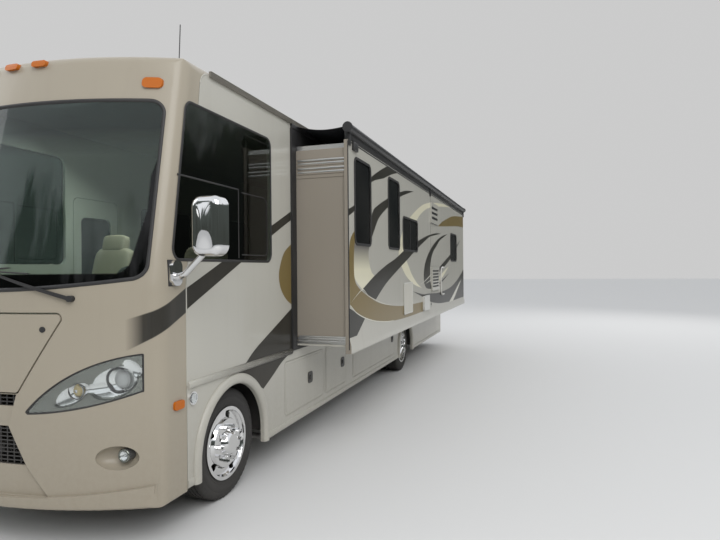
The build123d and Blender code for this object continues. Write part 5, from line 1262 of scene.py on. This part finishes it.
# Slide-out room's trim: its rubber edges and joints, the black trim under the roller, drawn
# deep enough to be also a painted shadow of the roller on the wall's head, and the roller's
# bracket, the hatches' frames, a lock, the bent white rail beside the lower vent, and the
# ribbed rails across its front end.
pane_bars = (
    # station, sill, head
    (5.36, 2.21, 2.65),
    (9.555, 2.10, 2.66),
)
room_lines = (
    # name, lines, way out, half width, half height, finish
    (
        "slide_edge_seals",
        [[place(slide_x - 0.002, slide_front, 1.10), place(slide_x - 0.002, slide_front, 3.24)]],
        (1.0, -1.0, 0.0), 0.006, 0.005, seal_black,
    ),
    (
        "slide_top_line",
        [flank_line(slide_x + 0.001, (slide_front + 0.01, 3.240), (slide_rear - 0.01, 3.240))],
        (1.0, 0.0, 0.0), 0.008, 0.004, seal_black,
    ),
    (
        "slide_panel_joint",
        [flank_line(slide_x + 0.0004, (6.93, 3.235), (6.93, 1.24))],
        (1.0, 0.0, 0.0), 0.0035, 0.0015, gasket_rubber,
    ),
    (
        "slide_pane_bars",
        [flank_line(slide_x - 0.004, (station, sill), (station, head)) for station, sill, head in pane_bars],
        (1.0, 0.0, 0.0), 0.008, 0.004, seal_black,
    ),
)
for name, room_line, way, wide, high, finish in room_lines:
    beads(name, room_line, way, wide, high, finish, "slide_room", closed=False)
room_blocks = (
    # name, front low corner and rear high corner, rounding of the edges
    # The top trim is black trim, and the depth of it under the roller is painted shadow of the roller
    ("slide_top_trim_and_shadow", (-0.045, slide_front + 0.02, 3.262), (0.004, slide_rear - 0.02, 3.345), 0.004),
    ("roller_bracket_foot", (-0.001, 2.69, 3.165), (0.028, 2.83, 3.255), 0.006),
    ("slide_box_lock", (0.030, 6.745, 1.29), (0.036, 6.79, 1.335), 0.002),
)
for name, low, high, rounding in room_blocks:
    shape = bmesh.new()
    block(shape, (slide_x + low[0], low[1], low[2]), (slide_x + high[0], high[1], high[2]), rounding)
    finished(name, shape, [black_trim], "slide_room")
hatch_lines = rim_lines("slide_vents", lambda middle, normal: normal.x > 0.9 and middle.y < 6.7)[:2]
white_trim = {"body": "slide_room", "slot": "white_plastic"}
beads("slide_hatch_frames", hatch_lines, (1.0, 0.0, 0.0), 0.008, 0.004, unit_plastic, **white_trim)
bent_rail = flank_line(
    slide_x + 0.014, (8.20, 1.945), (8.02, 1.95), (7.93, 1.93), (7.875, 1.88), (7.86, 1.80),
    (7.86, 1.57), (7.875, 1.49), (7.93, 1.44), (8.02, 1.42), (8.20, 1.425),
)
beads("slide_bent_rail", [bent_rail], (1.0, 0.0, 0.0), 0.016, 0.014, unit_plastic, closed=False, **white_trim)
# Two ribbed pairs and a ribbed sill stand on the end wall, within its gap to the frame
# that the room slides through
end_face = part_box("slide_end_walls")[0].y - datum
end_lines = [
    [place(1.318, end_face + 0.001, height), place(1.842, end_face + 0.001, height)]
    for height in (3.070, 3.036, 2.984, 2.946, 1.222, 1.200, 1.176)
]
beads(
    "slide_end_ribs",
    end_lines,
    (0.0, -1.0, 0.0),
    0.010,
    0.005,
    aluminium,
    "slide_room",
    "aluminium",
    closed=False,
)

# Whip aerial: a thin black steel whip that leans back from a rubber boot, screwed down on
# the front cap's corner.
aerial_x, aerial_station = 1.13, 0.84
boot = bmesh.new()
bmesh.ops.create_cone(
    boot,
    cap_ends=True,
    segments=24,
    radius1=0.024,
    radius2=0.009,
    depth=0.045,
    matrix=Matrix.Translation(place(aerial_x, aerial_station, 3.500)),
)
finished("aerial_boot", boot, [seal_black])
beads(
    "aerial_whip",
    [[place(aerial_x, aerial_station + 0.002 * step, 3.51 + 0.031 * step) for step in range(11)]],
    (0.0, -1.0, 0.0),
    0.004,
    0.004,
    black_trim,
    slot="black_plastic",
    closed=False,
)

# Wiper blades on the arms' tips: a bowed metal holder, painted black, and the rubber edge
# that it presses on the glass.
blade_middle, blade_height, blade_half = 0.08, 1.935, 0.33
blade_tilt = 0.02
blade_bow = 0.018
for hand, side_word in ((1.0, "left"), (-1.0, "right")):
    holder, edge = [], []
    for step in range(9):
        share = step / 4 - 1.0
        x = hand * blade_middle - share * blade_half
        z = blade_height + blade_tilt * hand * share
        y = bowed_front(x) + (z - belt_height) * nose_lean
        lift = blade_bow * (1.0 - share * share)
        holder.append(place(x, y - 0.018 - lift, z))
        edge.append(place(x, y - 0.008, z))
    beads(
        f"{side_word}_wiper_blade",
        [holder],
        (0.0, -1.0, 0.0),
        0.006,
        0.005,
        black_trim,
        slot="black_plastic",
        closed=False,
    )
    beads(f"{side_word}_wiper_rubber", [edge], (0.0, -1.0, 0.0), 0.003, 0.011, seal_black, closed=False)

# Front lamps: metal reflectors behind the clear covers, coloured dark as a painted reflection
# of the dark ground before them, with hollows swept round a clear globe and an amber one
# that are left bright as painted highlights, and a small ringed fog lamp in the cap below.
lamp_places = (
    # width, height and radius of the dish, its depth, radius of the globe in it, its finish
    (1.005, 1.179, 0.092, 0.040, 0.060, "clear"),
    (0.732, 1.108, 0.056, 0.022, 0.040, "amber"),
)
lamp_sweeps = (
    # width, height, half length, half width and slope of the long hollow round each dish, depth
    (0.975, 1.165, 0.165, 0.105, 0.42, 0.024),
    (0.705, 1.083, 0.140, 0.060, 0.55, 0.018),
    (1.090, 1.262, 0.080, 0.044, -0.95, 0.016),
    (0.870, 1.128, 0.120, 0.034, 0.10, 0.014),
)
# The reflector is a grid of points that starts from a width and height, set back a little
# from the cap's own face
grid_x, grid_z = 0.395, 0.930
columns, rows, spacing = 122, 68, 0.0065
set_back = 0.011
bowl_radius, bowl_depth, bowl_steps = 0.047, 0.030, 36
bright_reflector = metal("bright_reflector", (0.86, 0.87, 0.86), 0.20, 0.0, (30.0, 30.0, 30.0), 0.00003)
# Painted reflection: the reflector's dark colour stands for the dark ground that it mirrors; its hollows take
# the bright metal as painted highlights
painted_dark_reflector = metal("painted_dark_reflector", (0.20, 0.21, 0.185), 0.10, 0.0, (30.0, 30.0, 30.0), 0.00003)
clear_globe = glazed("clear_globe", (0.97, 0.98, 0.96), 0.04, 0.0, 0.30, 1.40, 0.0004)
amber_globe = glazed("amber_globe", (0.93, 0.74, 0.34), 0.05, 0.0, 0.22, 1.40, 0.0004)


def within_line(x, z, line):
    """Whether a width and height lie inside a closed line of widths and heights."""
    inside = False
    for (x_1, z_1), (x_2, z_2) in zip(line, line[1:] + line[:1]):
        if (z_1 > z) != (z_2 > z) and x < (x_2 - x_1) * (z - z_1) / (z_2 - z_1) + x_1:
            inside = not inside
    return inside


def ring_points(hand, x, station, z, radius, count):
    """Points of a circle that faces ahead, round a width and height on either side."""
    points = []
    for step in range(count):
        turn = math.tau * step / count
        points.append(place(hand * (x + radius * math.cos(turn)), station, z + radius * math.sin(turn)))
    return points


def ball(name, middle, radius, flatten, finish):
    """A globe squeezed along the coach."""
    shape = bmesh.new()
    bmesh.ops.create_uvsphere(shape, u_segments=32, v_segments=20, radius=radius)
    bmesh.ops.scale(shape, vec=(1.0, flatten, 1.0), verts=shape.verts)
    bmesh.ops.translate(shape, vec=middle, verts=shape.verts)
    return finished(name, shape, [finish])


cover_rims = rim_lines("lamp_lenses", lambda middle, normal: normal.y < -0.5)
for hand, side_word in ((1.0, "left"), (-1.0, "right")):
    rims = [line for line in cover_rims if (line[0].x - centreline) * hand > 0]
    headlamp_rim = thinned(next(line for line in rims if line[0].z > 0.85), 0.004)
    fog_rim = thinned(next(line for line in rims if line[0].z < 0.85), 0.003)
    beads(f"{side_word}_headlamp_seal", [headlamp_rim], (0.0, -1.0, 0.0), 0.008, 0.003, seal_black)
    # The fog lamp's chromed ring is coloured dark as a painted reflection
    beads(f"{side_word}_fog_ring", [fog_rim], (0.0, -1.0, 0.0), 0.007, 0.006, painted_dark_reflector, slot="chrome")
    outline = [((point.x - centreline) * hand, point.z) for point in headlamp_rim]
    shape = bmesh.new()
    grid = {}
    painted_highlight_cells = set()
    for column in range(columns):
        for row in range(rows):
            x, z = grid_x + column * spacing, grid_z + row * spacing
            depth = set_back
            for centre_x, centre_z, radius, dish, _, _ in lamp_places:
                reach = math.hypot(x - centre_x, z - centre_z) / radius
                depth += dish * max(0.0, 1.0 - reach**2)
            for centre_x, centre_z, long, wide, slope, dish in lamp_sweeps:
                turn = math.atan(slope)
                along = (x - centre_x) * math.cos(turn) + (z - centre_z) * math.sin(turn)
                across = (z - centre_z) * math.cos(turn) - (x - centre_x) * math.sin(turn)
                reach = (along / long) ** 2 + (across / wide) ** 2
                depth += dish * max(0.0, 1.0 - reach)
                if reach < 0.80:
                    painted_highlight_cells.add((column, row))
            if within_line(x, z, outline):
                grid[column, row] = shape.verts.new(place(hand * x, bowed_front(x) + depth, z))
    for column, row in grid:
        corners = ((column, row), (column + 1, row), (column + 1, row + 1), (column, row + 1))
        ring = [grid.get(corner) for corner in corners]
        if all(ring):
            mesh_face = shape.faces.new(ring if hand > 0 else ring[::-1])
            # Cells in the hollows take the bright metal: painted highlights
            mesh_face.material_index = int((column, row) in painted_highlight_cells)
    finished(f"{side_word}_reflector", shape, [painted_dark_reflector, bright_reflector], sharp=40.0)
    for centre_x, centre_z, radius, dish, globe, kind in lamp_places:
        bottom = bowed_front(centre_x) + set_back + dish
        ball(
            f"{side_word}_{kind}_globe",
            place(hand * centre_x, bottom + 0.006, centre_z),
            globe,
            0.62,
            clear_globe if kind == "clear" else amber_globe,
        )
        bulb_place = place(hand * centre_x, bottom - 0.012, centre_z)
        ball(f"{side_word}_{kind}_bulb", bulb_place, 0.014, 1.0, bright_reflector)
        circle = ring_points(hand, centre_x, bottom + 0.002, centre_z, globe + 0.004, 40)
        beads(f"{side_word}_{kind}_ring", [circle], (0.0, -1.0, 0.0), 0.004, 0.006, aluminium, slot="chrome")
    bowl = bmesh.new()
    rings = []
    for share in (1.0, 0.8, 0.6, 0.4, 0.2, 0.05):
        depth = bowl_depth * (1.0 - share**2)
        points = ring_points(hand, fog_x, 0.328 + depth, fog_z, bowl_radius * share, bowl_steps)
        rings.append([bowl.verts.new(point) for point in points])
    for outer_ring, inner_ring in zip(rings, rings[1:]):
        for step in range(bowl_steps):
            onward = (step + 1) % bowl_steps
            bowl.faces.new((outer_ring[step], outer_ring[onward], inner_ring[onward], inner_ring[step]))
    bowl.faces.new(rings[-1])
    bmesh.ops.recalc_face_normals(bowl, faces=bowl.faces)
    finished(f"{side_word}_fog_bowl", bowl, [bright_reflector], sharp=60.0)
    ball(f"{side_word}_fog_bulb", place(hand * fog_x, 0.340, fog_z), 0.011, 1.0, bright_reflector)

# Front seats: foam pads under sewn leather, crowned and drawn in at their seams: a seat,
# a back, a head rest and two armrests each, on a black steel stand.
seat_leather = moulded("seat_leather", (0.42, 0.35, 0.26), 0.48, 0.0, 260.0, 0.0010)


def cushion(name, middle, size, tilt, swell=0.34):
    """A stuffed pad: a block whose faces swell and whose edges draw in, leaned back."""
    shape = bmesh.new()
    bmesh.ops.create_cube(shape, size=2.0)
    bmesh.ops.subdivide_edges(shape, edges=shape.edges, cuts=15, use_grid_fill=True)
    for vert in shape.verts:
        x, y, z = vert.co
        # Each point keeps its direction, drawn in towards a rounded block
        reach = (abs(x) ** 6 + abs(y) ** 6 + abs(z) ** 6) ** (1 / 6)
        x, y, z = x / reach, y / reach, z / reach
        crown = 1.0 + swell * 0.25 * (1.0 - x * x) * (1.0 - y * y) * (1.0 - z * z)
        flat_x, flat_y, flat_z = 1.0 - x * x, 1.0 - y * y, 1.0 - z * z
        crown += 0.10 * (flat_x * flat_y + flat_y * flat_z + flat_x * flat_z)
        seam = 0.014 * math.exp(-((abs(x) - 0.62) / 0.035) ** 2)
        vert.co = Vector((x * size[0] / 2, y * size[1] / 2, z * size[2] / 2)) * (crown - seam) / 1.10
    bmesh.ops.rotate(shape, cent=(0.0, 0.0, 0.0), matrix=Matrix.Rotation(tilt, 3, "X"), verts=shape.verts)
    bmesh.ops.translate(shape, vec=middle, verts=shape.verts)
    return finished(name, shape, [seat_leather], sharp=60.0)


for word, x in (("driver", 0.56), ("passenger", -0.56)):
    seat = cushion(f"{word}_seat_cushion", place(x, 1.69, 1.490), (0.50, 0.54, 0.15), math.radians(3))
    back = cushion(f"{word}_seat_back", place(x, 1.985, 1.860), (0.48, 0.16, 0.66), math.radians(-12))
    head = cushion(f"{word}_head_rest", place(x, 2.045, 2.215), (0.30, 0.12, 0.19), math.radians(-12))
    for arm_side, arm_word in ((-1.0, "inner"), (1.0, "outer")):
        arm_place = place(x + arm_side * 0.225, 1.76, 1.70)
        arm = cushion(f"{word}_{arm_word}_armrest", arm_place, (0.065, 0.40, 0.06), 0.0)
    stand = bmesh.new()
    block(stand, (x - 0.16, 1.50, 1.102), (x + 0.16, 1.90, 1.130), 0.006)
    block(stand, (x - 0.09, 1.60, 1.125), (x + 0.09, 1.80, 1.420), 0.012)
    finished(f"{word}_seat_stand", stand, [black_trim])
    if word == "driver":
        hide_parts("front_seats")

# Dashboard outlets: two oval ones a side, moulded in black plastic with five slats each
# and let into the dashboard's top.
for hand, side_word in ((1.0, "left"), (-1.0, "right")):
    for number, (x, station) in enumerate(((0.42, 0.66), (0.86, 0.74))):
        vent = bmesh.new()
        bmesh.ops.create_cone(vent, cap_ends=True, segments=40, radius1=0.075, radius2=0.072, depth=0.006)
        bmesh.ops.scale(vent, vec=(1.0, 0.55, 1.0), verts=vent.verts)
        bmesh.ops.translate(vent, vec=place(hand * x, station, 1.723), verts=vent.verts)
        for slat in range(5):
            offset = -0.028 + 0.014 * slat
            half = 0.066 * math.sqrt(1.0 - (offset / 0.044) ** 2)
            block(
                vent,
                (hand * x - half, station + offset - 0.002, 1.724),
                (hand * x + half, station + offset + 0.002, 1.730),
            )
        finished(f"{side_word}_dash_vent_{number}", vent, [seal_black])

# Topper: one sheet of coated cloth from the wall's awning rail to the roller, with a sag
# between them and a shallow ripple along its length.
topper_low, topper_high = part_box("topper_fabric")
cloth_black = moulded("topper_cloth", (0.013, 0.014, 0.018), 0.62, 0.10, 900.0, 0.0003, soften=0.0)
weave_tree = cloth_black.node_tree
weave_place = weave_tree.nodes.new("ShaderNodeTexCoord").outputs["Object"]
weave = weave_tree.nodes.new("ShaderNodeTexWave")
weave.inputs["Scale"].default_value = 220.0
weave.inputs["Distortion"].default_value = 0.6
weave_tree.links.new(weave_place, weave.inputs["Vector"])
weave_tone = mixed(weave_tree, weave.outputs["Fac"], (0.010, 0.011, 0.014), (0.018, 0.019, 0.024))
cloth_film = next(node for node in weave_tree.nodes if node.type == "GROUP" and node.node_tree == film)
weave_tree.links.new(weave_tone, cloth_film.inputs["Colour"])
cloth = bmesh.new()
cloth_front, cloth_rear = topper_low.y + 0.004, topper_high.y - 0.004
wall_edge = topper_low.x + 0.002
# The sheet's far edge rests on the roller's own tube, short of its middle
roller_edge = topper_high.x - 0.002
across_steps, along_steps = 28, 120
cloth_rows = []
for along_step in range(along_steps + 1):
    share = along_step / along_steps
    y = cloth_front + (cloth_rear - cloth_front) * share
    cloth_row = []
    for across_step in range(across_steps + 1):
        reach = across_step / across_steps
        sag = 0.034 * math.sin(math.pi * reach) * (0.85 + 0.15 * math.cos(math.tau * share * 3.0))
        ripple = 0.0025 * math.sin(math.tau * share * 11.0) * math.sin(math.pi * reach)
        z = 3.437 + (3.398 - 3.437) * reach - sag + ripple
        cloth_row.append(cloth.verts.new((wall_edge + (roller_edge - wall_edge) * reach, y, z)))
    cloth_rows.append(cloth_row)
for near_row, far_row in zip(cloth_rows, cloth_rows[1:]):
    for across_step in range(across_steps):
        cloth.faces.new(
            (near_row[across_step], near_row[across_step + 1], far_row[across_step + 1], far_row[across_step])
        )
bmesh.ops.recalc_face_normals(cloth, faces=cloth.faces)
if cloth.faces[:][0].normal.z < 0:
    bmesh.ops.reverse_faces(cloth, faces=cloth.faces)
topper_sheet = finished("topper_sheet", cloth, [cloth_black], "coach", 60.0)
thickness = topper_sheet.modifiers.new("thickness", "SOLIDIFY")
thickness.thickness = 0.0012
thickness.offset = 0.0
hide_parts("topper_fabric")
wall_rail = bmesh.new()
block(wall_rail, (half_width - 0.001, 2.49, 3.396), (half_width + 0.026, 11.19, 3.446), 0.004)
finished("topper_wall_rail", wall_rail, [black_trim], "coach")
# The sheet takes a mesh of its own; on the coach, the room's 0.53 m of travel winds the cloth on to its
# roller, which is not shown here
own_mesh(topper_sheet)

# Mirror pads: a moulded rubber pad under each mirror's foot, which beds it on the rounded
# corner of the cap.
mirror_pads = bmesh.new()
for hand in (-1, 1):
    pad_sides = sorted((hand * (half_width - 0.014), hand * (half_width + 0.003)))
    block(mirror_pads, (pad_sides[0], 0.491, 1.816), (pad_sides[1], 0.609, 2.004), 0.004)
finished("mirror_pads", mirror_pads, [seal_black], "coach")
